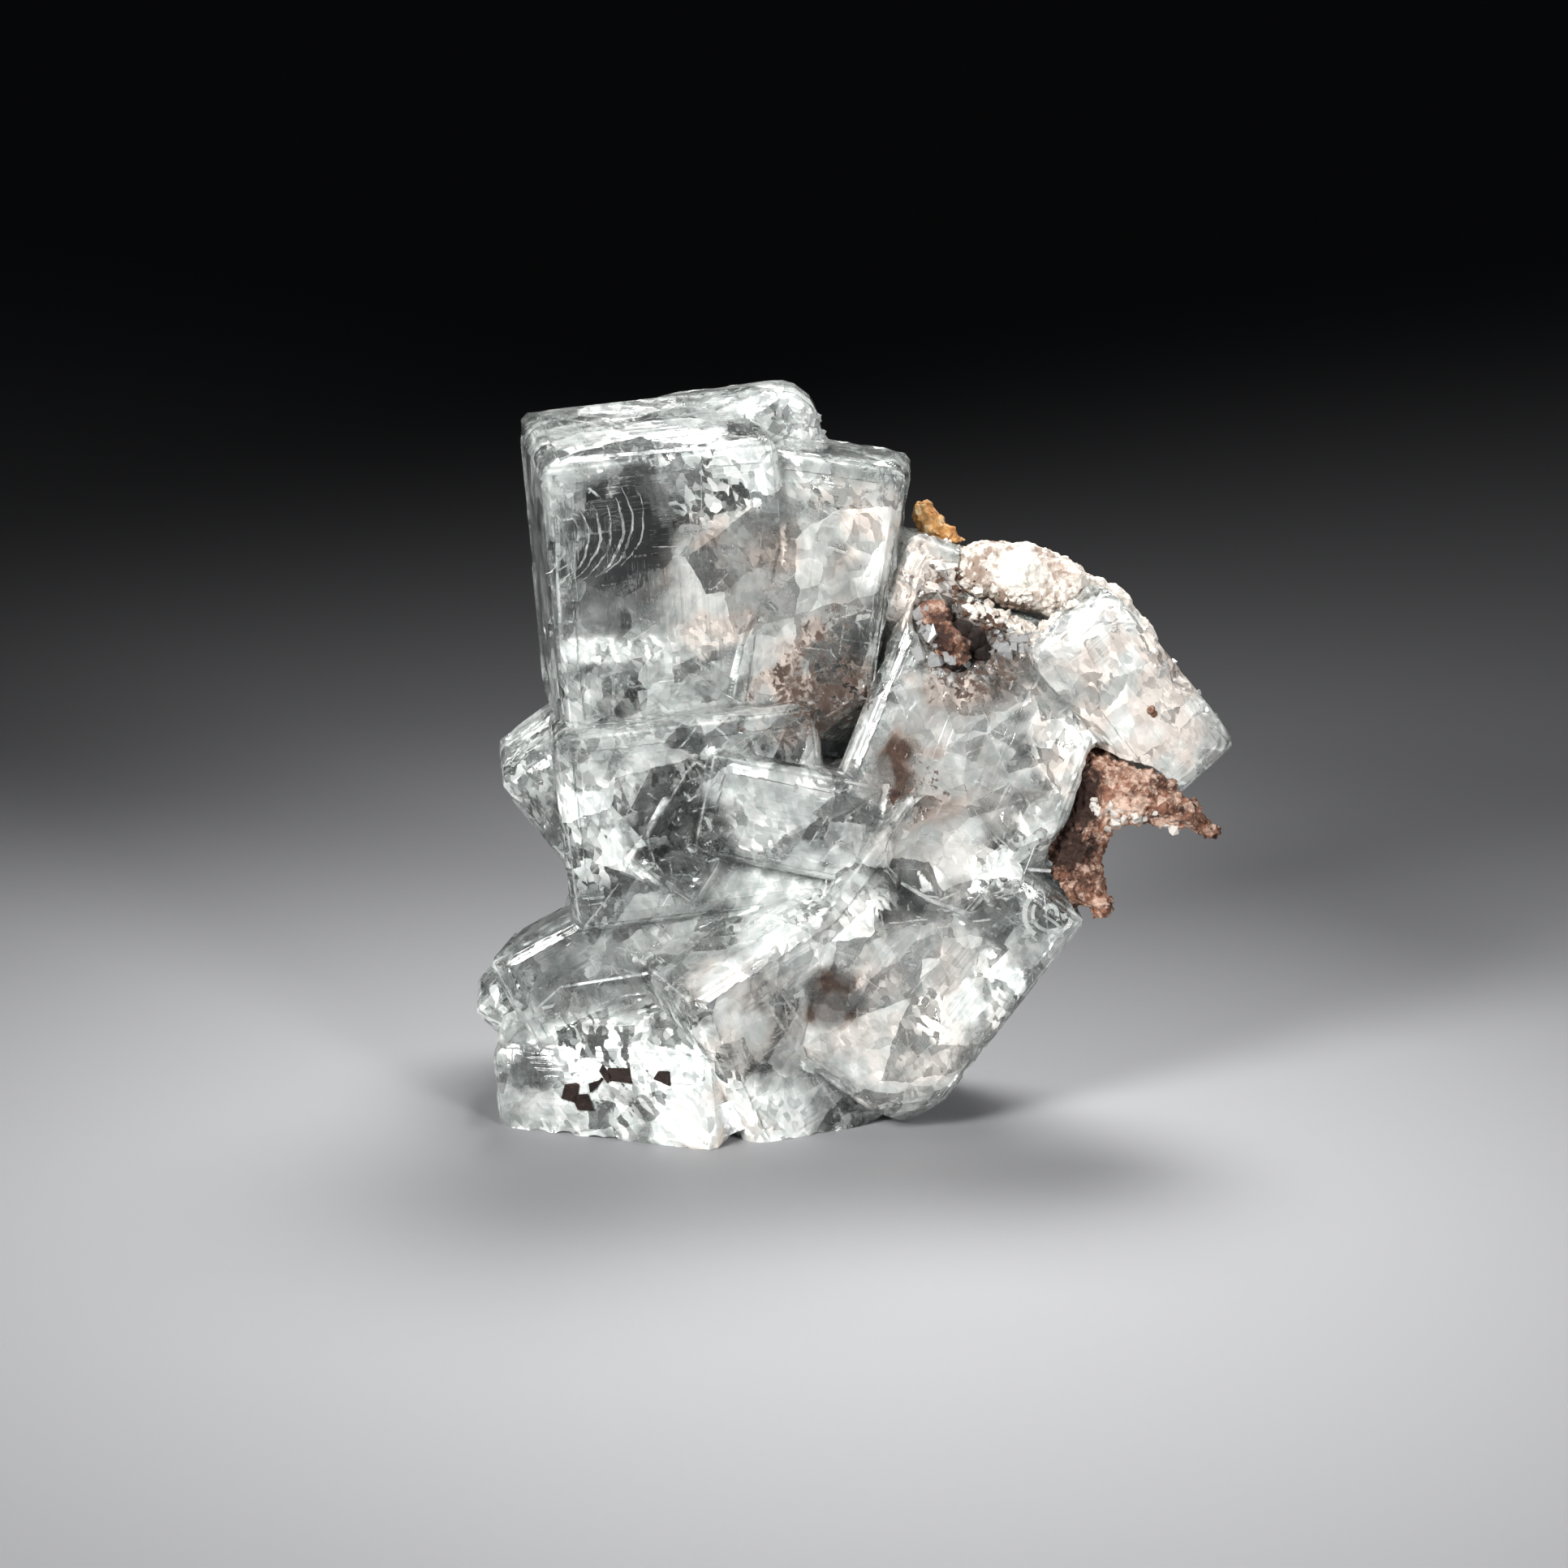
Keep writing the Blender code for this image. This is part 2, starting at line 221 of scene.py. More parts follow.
# Fog: an even, thin milkiness.
FOG = (0.04, (
    ("right block, right edge", (6.8, -3.0, 36.0), 2.6, 0.35),
    ("crest", (9.2, -3.2, 33.4), 2.4, 0.2),
    # The bright band is a highlight on the tall block's front face, painted in as fog.
    ("painted highlight band, left", (-11.4, -4.8, 29.5), 0.9, 0.3),
    ("painted highlight band, right", (-9.4, -4.6, 29.5), 0.9, 0.3),
    ("long prism, top face", (-13.0, -1.6, 11.9), 3.6, 0.28),
    ("grey band", (-6.3, -7.2, 19.6), 1.8, 0.15),
    ("right mass", (10.5, -6.4, 23.5), 5.0, 0.26),
    ("right mass, low", (9.8, -7.0, 18.0), 3.0, 0.34),
    ("below the slab", (2.5, -8.5, 13.5), 4.0, 0.3),
    ("right wing", (21.5, -6.4, 26.5), 6.5, 0.5),
    ("left foot", (-8.5, -9.6, 4.0), 4.6, 0.16),
    ("bottom wedge", (-3.4, -11.0, 1.4), 3.4, 0.75),
    ("bottom wedge, right", (0.0, -9.8, 1.4), 2.6, 0.65),
    ("behind the dark window", (-9.0, 8.5, 35.0), 6.5, 0.0),
    ("right foot", (8.0, -8.8, 8.5), 5.6, 0.36),
    ("beige column", (-3.0, -11.5, 10.4), 1.7, 0.4),
    ("beige column, low", (-1.6, -11.4, 7.4), 1.9, 0.36),
    ("tall block, rosy middle", (-3.0, -4.2, 33.5), 4.0, 0.22),
    ("right block, rosy middle", (3.0, -3.6, 32.0), 3.5, 0.14),
    ("dark window", (-9.6, -5.6, 36.3), 4.2, 0.0),
    ("middle cube", (-5.4, -7.8, 18.4), 3.2, 0.0),
    ("brown flame", (7.2, -7.0, 22.6), 2.2, 0.2),
    ("brown patch", (3.9, -9.2, 9.0), 2.0, 0.12),
))
# Stain: cream and rose tints left by iron.
STAIN = (0.08, (
    ("tall block, rosy middle", (-3.0, -4.2, 33.5), 4.0, 0.85),
    ("right block", (3.6, -3.6, 33.5), 5.5, 0.8),
    ("granular zone", (2.5, -4.0, 27.0), 3.6, 1.0),
    ("bottom wedge", (-3.0, -10.8, 1.6), 3.0, 0.7),
    ("middle foot", (-0.5, -10.5, 8.0), 4.0, 0.4),
    ("beige column", (-3.0, -11.5, 10.4), 2.4, 0.5),
    ("beige column, low", (-1.6, -11.4, 7.4), 2.6, 0.5),
    ("right foot", (7.6, -8.8, 8.0), 6.0, 0.5),
    ("right mass", (10.5, -7.0, 20.0), 6.0, 0.35),
    ("by the flame", (8.0, -7.0, 22.0), 2.6, 0.8),
    ("right wing", (21.5, -6.4, 26.5), 6.5, 0.7),
    ("under the crust", (12.0, -5.0, 29.0), 3.5, 0.9),
    ("crest", (9.2, -3.2, 33.4), 2.8, 0.8),
    ("beside the flame", (9.6, -6.9, 21.6), 2.2, 0.9),
    ("brown flame", (7.5, -6.8, 23.8), 1.0, 1.5),
    ("brown flame, low", (7.1, -7.2, 22.0), 1.5, 1.7),
    ("brown patch", (4.4, -9.2, 10.0), 1.1, 1.3),
    ("brown patch, low", (3.7, -9.2, 8.4), 1.4, 1.8),
))
# Specks: dark brown grains.
SPECKS = (0.0, (
    ("granular zone", (2.8, -4.0, 26.6), 3.4, 0.95),
    ("granular zone, high", (3.2, -3.9, 29.6), 2.2, 0.7),
    ("granular zone, left", (-1.5, -5.6, 26.0), 2.6, 0.5),
    ("under the crust", (12.0, -5.0, 29.6), 3.4, 0.9),
    ("crest", (9.6, -3.2, 32.6), 1.8, 0.6),
    ("left foot", (-9.4, -9.6, 3.4), 2.4, 0.4),
    ("by the flame", (8.6, -7.0, 21.5), 2.2, 0.6),
    ("rosy middle", (-2.0, -4.2, 32.2), 3.6, 0.3),
))
# Tone of the rock: 0 is as elsewhere, above is paler and below darker.
TONE = (0.0, (
    ("crust", (15.0, -2.5, 33.0), 4.5, -0.1),
    ("crust, lower edge", (14.4, -3.0, 31.6), 1.6, -0.3),
    ("crust, left end", (12.0, -2.9, 33.2), 1.3, -0.2),
    ("crust, white spot", (15.2, -2.9, 34.2), 1.4, 0.12),
    ("grain in the hollow", (10.8, -5.6, 30.6), 1.5, -0.12),
    ("claw, spine", (18.2, -5.6, 20.4), 1.9, -0.35),
    # The claw's paler top edge is partly its own colour and partly a painted highlight.
    ("claw, top edge", (21.4, -5.8, 22.8), 1.6, 0.12),
    ("claw, underside", (21.4, -7.2, 19.6), 1.5, 0.22),
    ("claw, underside, near tip", (23.8, -7.6, 19.0), 1.0, 0.15),
    ("claw, below the spine", (18.2, -6.6, 17.6), 1.2, -0.2),
))

# White veils: thin sheets just under the skin, each by its corners.
VEILS = (
    # The first is the tall block's bright band, a highlight painted in as a white sheet.
    (
        (-12.2, -4.3, 29.9), (-5.9, -3.5, 29.9), (-6.0, -3.4, 29.1), (-9.0, -3.8, 28.8),
        (-12.2, -4.1, 28.9),
    ),
    ((-12.0, -6.7, 18.1), (-9.9, -6.9, 20.9), (-7.4, -6.6, 17.9), (-10.0, -6.9, 17.3)),
    ((-5.6, -10.3, 0.6), (-4.6, -10.6, 2.3), (-0.9, -9.8, 3.3), (-0.7, -9.4, 1.4), (-3.2, -10.2, 0.4)),
    ((12.6, -8.3, 12.0), (15.6, -8.2, 9.4), (14.0, -8.2, 7.0), (13.2, -8.3, 9.6)),
    ((7.2, -2.3, 34.6), (7.5, -2.3, 34.2), (5.8, -3.1, 26.4), (5.3, -3.2, 26.2)),
    ((17.2, -6.4, 24.6), (19.4, -6.2, 24.8), (19.6, -6.2, 23.9), (18.0, -6.1, 23.2)),
    ((-1.8, -4.0, 41.0), (0.4, -3.9, 40.9), (0.6, -3.8, 38.8), (-1.2, -4.0, 38.6)),
)
# Brown films just under the skin, likewise: the flame in the right mass and the right foot's patch.
BROWN_FILMS = (
    ((7.7, -6.6, 25.0), (6.3, -6.9, 23.5), (6.6, -7.3, 22.0), (7.3, -8.0, 20.4), (8.6, -7.0, 22.9)),
    ((2.6, -9.3, 7.4), (3.0, -9.3, 9.6), (4.9, -9.1, 10.7), (4.7, -9.1, 8.8), (4.0, -9.2, 7.4)),
)
# Bright ridge lines just under the skin: width, then the points that each runs through.
RIDGES = (
    # The first two run along the bright rim of a shallow hollow: a highlight painted in as white lines.
    (0.225, (
        (7.8, -8.2, 15.9), (9.8, -7.9, 14.6), (12.0, -8.1, 13.9), (12.9, -7.9, 15.0), (13.7, -7.5, 16.0),
    )),
    (0.2, ((13.7, -7.5, 16.0), (15.4, -7.0, 16.4), (17.0, -6.2, 16.1))),
    (0.175, ((-2.9, -8.5, 12.3), (0.4, -9.9, 7.8), (4.4, -7.2, 0.8))),
    (0.15, ((-3.6, -10.4, 11.3), (-2.2, -11.1, 6.6), (-1.3, -10.3, 3.5))),
    (0.25, ((-0.9, -10.3, 12.2), (2.4, -8.9, 6.4), (5.2, -6.9, 1.2))),
    (0.15, ((-15.2, -5.4, 6.4), (-12.8, -6.3, 8.8), (-7.4, -8.1, 10.2))),
    (0.125, ((-14.6, -5.9, 5.6), (-9.4, -6.4, 8.2), (-7.6, -7.6, 8.8))),
    (0.55, ((7.4, -2.4, 35.2), (7.3, -2.2, 32.6), (6.3, -3.1, 29.6), (5.4, -3.5, 26.8))),
    (0.175, ((0.8, -3.1, 36.0), (2.5, -3.2, 35.8), (4.9, -3.4, 35.0), (6.7, -3.2, 34.3))),
    (0.2, ((-11.9, -5.9, 41.2), (-5.0, -4.9, 41.6), (-0.6, -4.2, 41.8))),
    # This line, inside the tall block's left edge, is an inner reflection painted in as a white line.
    (0.175, ((-12.4, -5.6, 40.6), (-12.6, -4.9, 34.0), (-12.5, -4.3, 28.0))),
    (0.175, ((-11.6, -6.9, 23.8), (-11.7, -7.2, 20.0), (-11.4, -7.1, 16.4))),
)
# Dark plates set flat in the skin: a place near it, size along and across in millimetres, and turn
# in degrees. The rest of each: how thick, how far its middle is sunk and how skewed its corners are.
PLATE_THICKNESS = 0.5
PLATE_SUNK = 0.17
PLATE_SKEW = 0.22
DARK_PLATES = (
    ((-9.1, -9.6, 4.4), (1.3, 1.0), 14),
    ((-9.9, -9.3, 4.4), (0.7, 0.9), 50),
    ((-10.6, -9.2, 3.7), (1.0, 0.7), 34),
    ((-12.3, -8.6, 2.7), (0.9, 0.9), 62),
    ((-11.5, -8.8, 2.3), (0.9, 0.9), 20),
    ((-6.4, -10.6, 4.6), (0.7, 0.9), 60),
)
# Brown inclusions: lumps that each is fused from, as place and radius.
BROWN_FLAME = (
    ((7.9, -5.9, 24.2), 0.28), ((7.4, -6.0, 23.5), 0.45), ((7.1, -6.1, 22.6), 0.6),
    ((7.0, -6.2, 21.6), 0.55), ((7.3, -6.2, 20.7), 0.35), ((7.8, -6.0, 22.9), 0.35),
)
BROWN_PATCH = (
    ((2.6, -8.2, 10.6), 0.6), ((3.3, -8.4, 9.8), 0.8), ((3.2, -8.3, 8.7), 0.75),
    ((2.7, -8.2, 7.9), 0.5), ((4.0, -8.4, 9.2), 0.45),
)
DARK_POCKET = (
    ((11.5, -4.6, 30.6), 0.7), ((12.2, -4.5, 30.1), 0.8), ((12.7, -4.6, 29.3), 0.6),
    ((11.0, -4.9, 28.7), 0.5),
)
# The dark crescent is painted shade inside the ring-like hollow, which is drawn without a real hollow.
PAINTED_HOLLOW_SHADE = (
    ((17.5, -7.3, 13.5), 0.18), ((17.6, -7.3, 13.9), 0.22), ((17.5, -7.3, 14.3), 0.25),
    ((17.2, -7.3, 14.55), 0.25), ((16.8, -7.3, 14.6), 0.2),
)
RED_SPOT = (((22.8, -5.9, 26.1), 0.3), ((23.0, -5.8, 25.8), 0.25), ((22.5, -5.9, 26.4), 0.22))

# Grains stuck to the outside: what they are made of, the line that they follow, how far they
# stray from it in millimetres, how many and the largest.
GRAIN_PATCHES = (
    ("brown", ((11.0, -2.6, 33.6), (12.4, -4.0, 31.4), (14.4, -4.4, 31.2)), 1.0, 90, 0.6),
    ("cream", ((10.6, -1.0, 35.2), (11.6, -1.4, 34.6), (12.0, -2.8, 33.4)), 0.7, 60, 0.7),
    ("cream", ((13.4, -3.6, 32.4), (16.8, -3.6, 32.0), (19.6, -2.4, 31.0)), 0.9, 90, 0.7),
    ("cream", ((12.2, -3.4, 32.2), (14.6, -4.2, 31.4), (17.2, -4.2, 31.0)), 0.9, 90, 1.1),
    ("cream", ((13.6, -3.6, 31.2), (15.4, -3.8, 31.0), (17.2, -4.0, 30.8)), 0.6, 120, 0.7),
    ("clear", ((9.0, -4.6, 31.8), (9.2, -5.2, 30.0), (10.6, -5.8, 28.6)), 0.6, 18, 0.8),
    ("clear", ((12.6, -4.8, 30.4), (16.0, -4.8, 30.0), (18.4, -5.6, 30.4)), 1.2, 50, 0.7),
    ("clear", (
        (19.4, -5.8, 32.2), (22.2, -5.4, 30.4), (24.6, -4.8, 27.8), (26.8, -4.4, 25.2),
    ), 0.8, 30, 0.5),
    ("clear", ((-0.6, 4.2, 43.0), (2.2, 4.6, 42.0), (2.8, 5.0, 40.4)), 0.9, 40, 0.7),
    ("pale", ((19.6, -6.8, 20.2), (21.6, -7.4, 19.2), (23.6, -7.6, 18.9)), 0.7, 26, 0.9),
)
# Ripple arcs in the dark window, just behind the tall block's front: where each arc's centre lies
# along the block's own X and Z, its radius and the angles between which it runs.
RIPPLES = (
    ((-8.4, 5.0), 2.4, (-66, 42)),
    ((-8.0, 5.1), 2.7, (-60, 30)),
    ((-7.7, 5.1), 3.0, (-72, 40)),
    ((-7.2, 5.3), 3.2, (-66, 32)),
    ((-6.8, 5.4), 3.5, (-70, 36)),
    ((-6.2, 5.5), 3.6, (-62, 26)),
    ((-5.8, 5.7), 3.8, (-64, 30)),
    ((-5.0, 5.8), 3.7, (-56, 24)),
)
# Curved white walls of the ring-like hollow by the claw's lower end: width, radius and the angles
# between which each runs about the hollow's middle.
HOLLOW_MIDDLE = (16.9, -7.9, 13.9)
HOLLOW_WALLS = (
    (0.3, 1.6, (95, 235)),
    (0.22, 1.1, (150, 300)),
    (0.3, 0.45, (-20, 150)),
    (0.35, 1.4, (265, 350)),
)
# How many points each arc is drawn with.
WALL_POINTS = 16
RIPPLE_POINTS = 32
CRACK_GAP = 0.05  # between the two walls of a crack, in millimetres
CRACK_RIPPLE = 0.04
CRACK_BOW = 0.06  # how far a crack bows, as a share of its radius
# Where nothing is sealed in, so that the depth shows dark: a place and how far it reaches.
DARK_WINDOWS = (
    ((-9.4, -3.0, 36.4), 3.6),
    ((-9.2, 2.5, 35.8), 3.9),
    ((-8.8, -3.0, 33.0), 3.0),
    ((-8.8, 2.0, 32.6), 3.4),
    ((-5.2, -6.4, 18.6), 1.9),
    ((-12.0, -2.4, 11.2), 2.6),
    ((-12.0, -5.0, 8.8), 2.2),
    ((-14.2, -6.0, 3.8), 1.6),
)


def at(point):
    """A point of the layout, in millimetres, as a place in the part's frame."""
    return LAYOUT_ORIGIN + Vector(point) * MM


def crystal_matrix(name):
    """From a crystal's own axes to the part's frame."""
    centre, _, turn = CRYSTALS[name]
    angles = [math.radians(degrees) for degrees in turn]
    return Matrix.Translation(at(centre)) @ Euler(angles).to_matrix().to_4x4()


def new_piece(name, bm, material):
    """One piece of the specimen with its material, riding the part's only body."""
    mesh = bpy.data.meshes.new(name)
    bm.to_mesh(mesh)
    bm.free()
    kept_normals = mesh.attributes.get("custom_normal")
    if kept_normals:
        mesh.attributes.remove(kept_normals)  # the CAD facets' own, which no longer fit
    item = bpy.data.objects.new(name, mesh)
    bpy.context.scene.collection.objects.link(item)
    item.data.materials.append(material)
    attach(item, "root")
    return item


# ---------------------------------------------------------------- materials


def principled(name, colour, roughness):
    """A new material and its shader."""
    material = bpy.data.materials.new(name)
    material.use_nodes = True
    shader = material.node_tree.nodes["Principled BSDF"]
    shader.inputs["Base Color"].default_value = (*colour, 1.0)
    shader.inputs["Roughness"].default_value = roughness
    return material, shader


class Nodes:
    """Short hands for building one material's node tree."""

    def __init__(self, material):
        self.tree = material.node_tree

    def add(self, kind, inputs=None, **settings):
        """A new node; inputs says what each of its sockets is fed."""
        node = self.tree.nodes.new(kind)
        for name, value in settings.items():
            setattr(node, name, value)
        for name, value in (inputs or {}).items():
            self.feed(node.inputs[name], value)
        return node

    def feed(self, socket, value):
        """Link an output to a socket, or set the socket to a plain value."""
        if isinstance(value, bpy.types.NodeSocket):
            self.tree.links.new(value, socket)
        else:
            socket.default_value = value

    def place(self):
        """Object coordinates, which are the part's own, in metres."""
        return self.add("ShaderNodeTexCoord").outputs["Object"]

    def drawn_out(self, vector, length, turn):
        """Coordinates in which a texture is drawn out length times along an axis turned by turn."""
        angles = [math.radians(angle) for angle in turn]
        inputs = {"Vector": vector, "Scale": (1, 1, length), "Rotation": angles}
        return self.add("ShaderNodeMapping", inputs, vector_type="TEXTURE").outputs["Vector"]

    def noise(self, wave, detail=4.0, roughness=0.55, distortion=0.0, vector=None):
        """Noise from 0 to 1 whose features are about wave millimetres wide."""
        return self.add("ShaderNodeTexNoise", {
            "Scale": 1.0 / (wave * MM),
            "Detail": detail,
            "Roughness": roughness,
            "Distortion": distortion,
            "Vector": vector or self.place(),
        }).outputs["Fac"]

    def warped(self, wave, reach):
        """Object coordinates pushed about by noise, up to reach millimetres."""
        push = self.noise(wave, detail=3, roughness=0.5).node.outputs["Color"]
        inputs = {0: push, 1: (reach * MM,) * 3, 2: self.place()}
        return self.add("ShaderNodeVectorMath", inputs, operation="MULTIPLY_ADD").outputs[0]

    def cells(self, wave, vector, detail=0.0):
        """Irregular cells about wave millimetres wide; detail adds smaller ones inside them."""
        inputs = {"Scale": 1.0 / (wave * MM), "Detail": detail, "Roughness": 0.6, "Vector": vector}
        return self.add("ShaderNodeTexVoronoi", inputs, normalize=True)

    def parts(self, colour):
        node = self.add("ShaderNodeSeparateColor", {"Color": colour})
        return node.outputs["Red"], node.outputs["Green"], node.outputs["Blue"]

    def vector_math(self, operation, first, second=(0, 0, 0)):
        inputs = {0: first, 1: second}
        return self.add("ShaderNodeVectorMath", inputs, operation=operation).outputs[0]

    def tilted(self, colour, amount, normal=None):
        """A normal tilted one way for each cell; colour is the cell's random colour."""
        lean = self.vector_math("SUBTRACT", colour, (0.5, 0.5, 0.5))
        inputs = {0: lean, "Scale": amount}
        lean = self.add("ShaderNodeVectorMath", inputs, operation="SCALE").outputs[0]
        upright = normal or self.add("ShaderNodeNewGeometry").outputs["Normal"]
        return self.vector_math("NORMALIZE", self.vector_math("ADD", upright, lean))

    def math(self, operation, first, second, clamp=False):
        inputs = {0: first, 1: second}
        return self.add("ShaderNodeMath", inputs, operation=operation, use_clamp=clamp).outputs["Value"]

    def times(self, first, second):
        return self.math("MULTIPLY", first, second)

    def total(self, *values):
        """The sum of (output, weight) pairs and plain numbers."""
        result = 0.0
        for value in values:
            if isinstance(value, tuple):
                value = self.times(*value)
            result = self.math("ADD", value, result)
        return result

    def rescale(self, value, low, high, to_low=0.0, to_high=1.0):
        """Move the range from low to high smoothly onto the one from to_low to to_high."""
        inputs = {"Value": value, "From Min": low, "From Max": high, "To Min": to_low, "To Max": to_high}
        return self.add("ShaderNodeMapRange", inputs, interpolation_type="SMOOTHSTEP").outputs["Result"]

    def blend(self, share, first, second):
        """A colour mix; first and second are colours or outputs."""
        inputs = {"Factor": share}
        for socket, value in ((6, first), (7, second)):
            inputs[socket] = value if isinstance(value, bpy.types.NodeSocket) else (*value, 1.0)
        return self.add("ShaderNodeMix", inputs, data_type="RGBA").outputs[2]

    def attribute(self, name):
        return self.add("ShaderNodeAttribute", attribute_name=name).outputs["Fac"]

    def bump(self, height, distance, strength=1.0, before=None):
        """A normal from a height; distance is in millimetres, and before is the normal bumped."""
        inputs = {"Distance": distance * MM, "Strength": strength, "Height": height}
        if before is not None:
            inputs["Normal"] = before
        return self.add("ShaderNodeBump", inputs).outputs["Normal"]


def fluorite_material():
    """Clear fluorite whose skin is milky, foggy, stained and speckled in places, cell by cell."""
    material, shader = principled("clear fluorite", (0.97, 0.98, 0.98), 0.02)
    shader.inputs["IOR"].default_value = FLUORITE_IOR
    nodes = Nodes(material)
    haze, fog, cloud = nodes.attribute("haze"), nodes.attribute("fog"), nodes.attribute("cloud")
    stain, specks = nodes.attribute("stain"), nodes.attribute("specks")
    place = nodes.warped(1.6, 0.8)
    facets = nodes.cells(FACET_WIDTH, nodes.drawn_out(place, 1.8, (25, 50, 0)), detail=1.6)
    facets = facets.outputs["Color"]
    slivers = nodes.cells(SLIVER_WIDTH, nodes.drawn_out(place, 2.4, (-20, -35, 0))).outputs["Color"]
    large_red, large_green, large_blue = nodes.parts(facets)
    small_red, _, small_blue = nodes.parts(slivers)
    streaked = nodes.drawn_out(place, 3.5, (60, 20, 0))
    grain = nodes.noise(STREAK_WIDTH, detail=2, roughness=0.6, vector=streaked)
    rim = nodes.rescale(nodes.attribute("inset"), 0.05, 0.35, 1.0, 0.0)

    feathered = nodes.rescale(grain, 0.3, 0.7, 0.75, 1.2)
    facet_milk = nodes.times(nodes.rescale(large_red, 0.3, 0.8, 0.02, 1.05), haze)
    facet_milk = nodes.times(facet_milk, feathered)
    granular = nodes.rescale(nodes.total(haze, (cloud, 0.35)), 0.3, 0.9, 0.0, 0.75)
    sliver_milk = nodes.times(nodes.rescale(small_red, 0.35, 0.9), granular)
    milk = nodes.total(facet_milk, sliver_milk, (rim, nodes.rescale(grain, 0.3, 0.7, 0.1, 0.9)),
                       (fog, nodes.rescale(large_green, 0.25, 0.75, 0.5, 1.5)))
    fine = nodes.noise(SPECK_WIDTH, detail=4, roughness=0.7, vector=place)
    dark = nodes.rescale(nodes.total((specks, 0.3), fine), 0.73, 0.79)
    milk = nodes.math("MAXIMUM", milk, nodes.times(dark, 0.85))
    milk = nodes.math("MINIMUM", milk, MILKIEST)
    nodes.feed(shader.inputs["Transmission Weight"], nodes.math("SUBTRACT", 1.0, milk, clamp=True))

    uneven = nodes.rescale(nodes.total(cloud, (grain, 0.6)), 0.0, 0.6, 0.25, 1.0)
    tinted = nodes.times(stain, uneven)
    white = nodes.blend(small_blue, *MILK_TINTS)
    rosy = nodes.blend(large_blue, *ROSE_TINTS)
    rosy = nodes.blend(nodes.rescale(stain, 0.95, 1.5), rosy, RUST_TINT)
    brown = nodes.blend(grain, *SPECK_TINTS)
    nodes.feed(shader.inputs["Base Color"], nodes.blend(dark, nodes.blend(tinted, white, rosy), brown))
    nodes.feed(shader.inputs["Roughness"], nodes.rescale(milk, 0.2, 1.0, 0.02, 0.35))

    normal = nodes.tilted(facets, nodes.rescale(haze, 0.03, 0.6, 0.0, 0.8))
    normal = nodes.tilted(slivers, nodes.times(granular, 0.6), normal)
    inputs = {"Scale": 2.6, "Detail": 3.0, "W": nodes.attribute("inset")}
    stripes = nodes.add("ShaderNodeTexNoise", inputs, noise_dimensions="1D").outputs["Fac"]
    nodes.feed(shader.inputs["Normal"], nodes.bump(stripes, 0.05, before=normal))
    return material


def inner_material(name, tilt):
    """Walls of the gaps inside the crystals: clear to milky by their own vertices' milk."""
    material, shader = principled(name, (0.95, 0.96, 0.96), 0.0)
    shader.inputs["IOR"].default_value = FLUORITE_IOR
    nodes = Nodes(material)
    place = nodes.warped(0.9, 0.5)
    cells = nodes.cells(0.6, nodes.drawn_out(place, 2.5, (30, -40, 0)), detail=1.0).outputs["Color"]
    feather = nodes.noise(0.8, detail=3, roughness=0.7, distortion=0.7)
    uneven = nodes.total((nodes.parts(cells)[0], 0.6), (feather, 0.7))
    uneven = nodes.rescale(uneven, 0.35, 0.95, 0.2, 1.7)
    milk = nodes.times(nodes.attribute("milk"), uneven)
    nodes.feed(shader.inputs["Transmission Weight"], nodes.math("SUBTRACT", 1.0, milk, clamp=True))
    nodes.feed(shader.inputs["Normal"], nodes.tilted(cells, tilt))
    return material


def earthy_material(name, dark, middle, pale, grain, pale_share):
    """Granular, rusty rock: three tones in patches, finely speckled."""
    material, shader = principled(name, middle, 0.8)
    nodes = Nodes(material)
    patches = nodes.noise(2.0, detail=5, roughness=0.6, distortion=0.6)
    streaks = nodes.noise(0.9, detail=6, roughness=0.7, distortion=0.8)
    cells = nodes.cells(grain, nodes.warped(0.6, 0.5), detail=1.0)
    red, green, _ = nodes.parts(cells.outputs["Color"])
    tone = nodes.attribute("tone")
    low = nodes.rescale(nodes.total((patches, 0.7), (streaks, 0.4), (red, 0.15), tone), 0.48, 0.72)
    split = 1.0 - pale_share
    high = nodes.total((streaks, 0.6), (patches, 0.25), (green, 0.25), (tone, 0.7))
    high = nodes.rescale(high, split - 0.1, split + 0.14)
    nodes.feed(shader.inputs["Base Color"], nodes.blend(high, nodes.blend(low, dark, middle), pale))
    normal = nodes.bump(cells.outputs["Distance"], 0.15, 0.7)
    fine = nodes.noise(0.18, detail=3, roughness=0.7)
    nodes.feed(shader.inputs["Normal"], nodes.bump(fine, 0.06, before=normal))
    shader.inputs["Specular IOR Level"].default_value = 0.4
    return material


# ---------------------------------------------------------------- the crystals


def welded(node):
    """The CAD node's mesh with its split corners welded."""
    bm = bmesh.new()
    bm.from_mesh(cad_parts[node].data)
    bmesh.ops.remove_doubles(bm, verts=bm.verts[:], dist=1e-6)
    bmesh.ops.recalc_face_normals(bm, faces=bm.faces[:])
    return bm


def drop_folds(bm):
    """Delete the few pairs of faces that cutting folded onto the same three corners."""
    bm.verts.index_update()
    by_corners = {}
    for face in bm.faces:
        by_corners.setdefault(frozenset(vert.index for vert in face.verts), []).append(face)
    folded = [face for faces in by_corners.values() for face in faces[: len(faces) // 2 * 2]]
    bmesh.ops.delete(bm, geom=folded, context="FACES_ONLY")
    bmesh.ops.delete(bm, geom=[edge for edge in bm.edges if not edge.link_faces], context="EDGES")


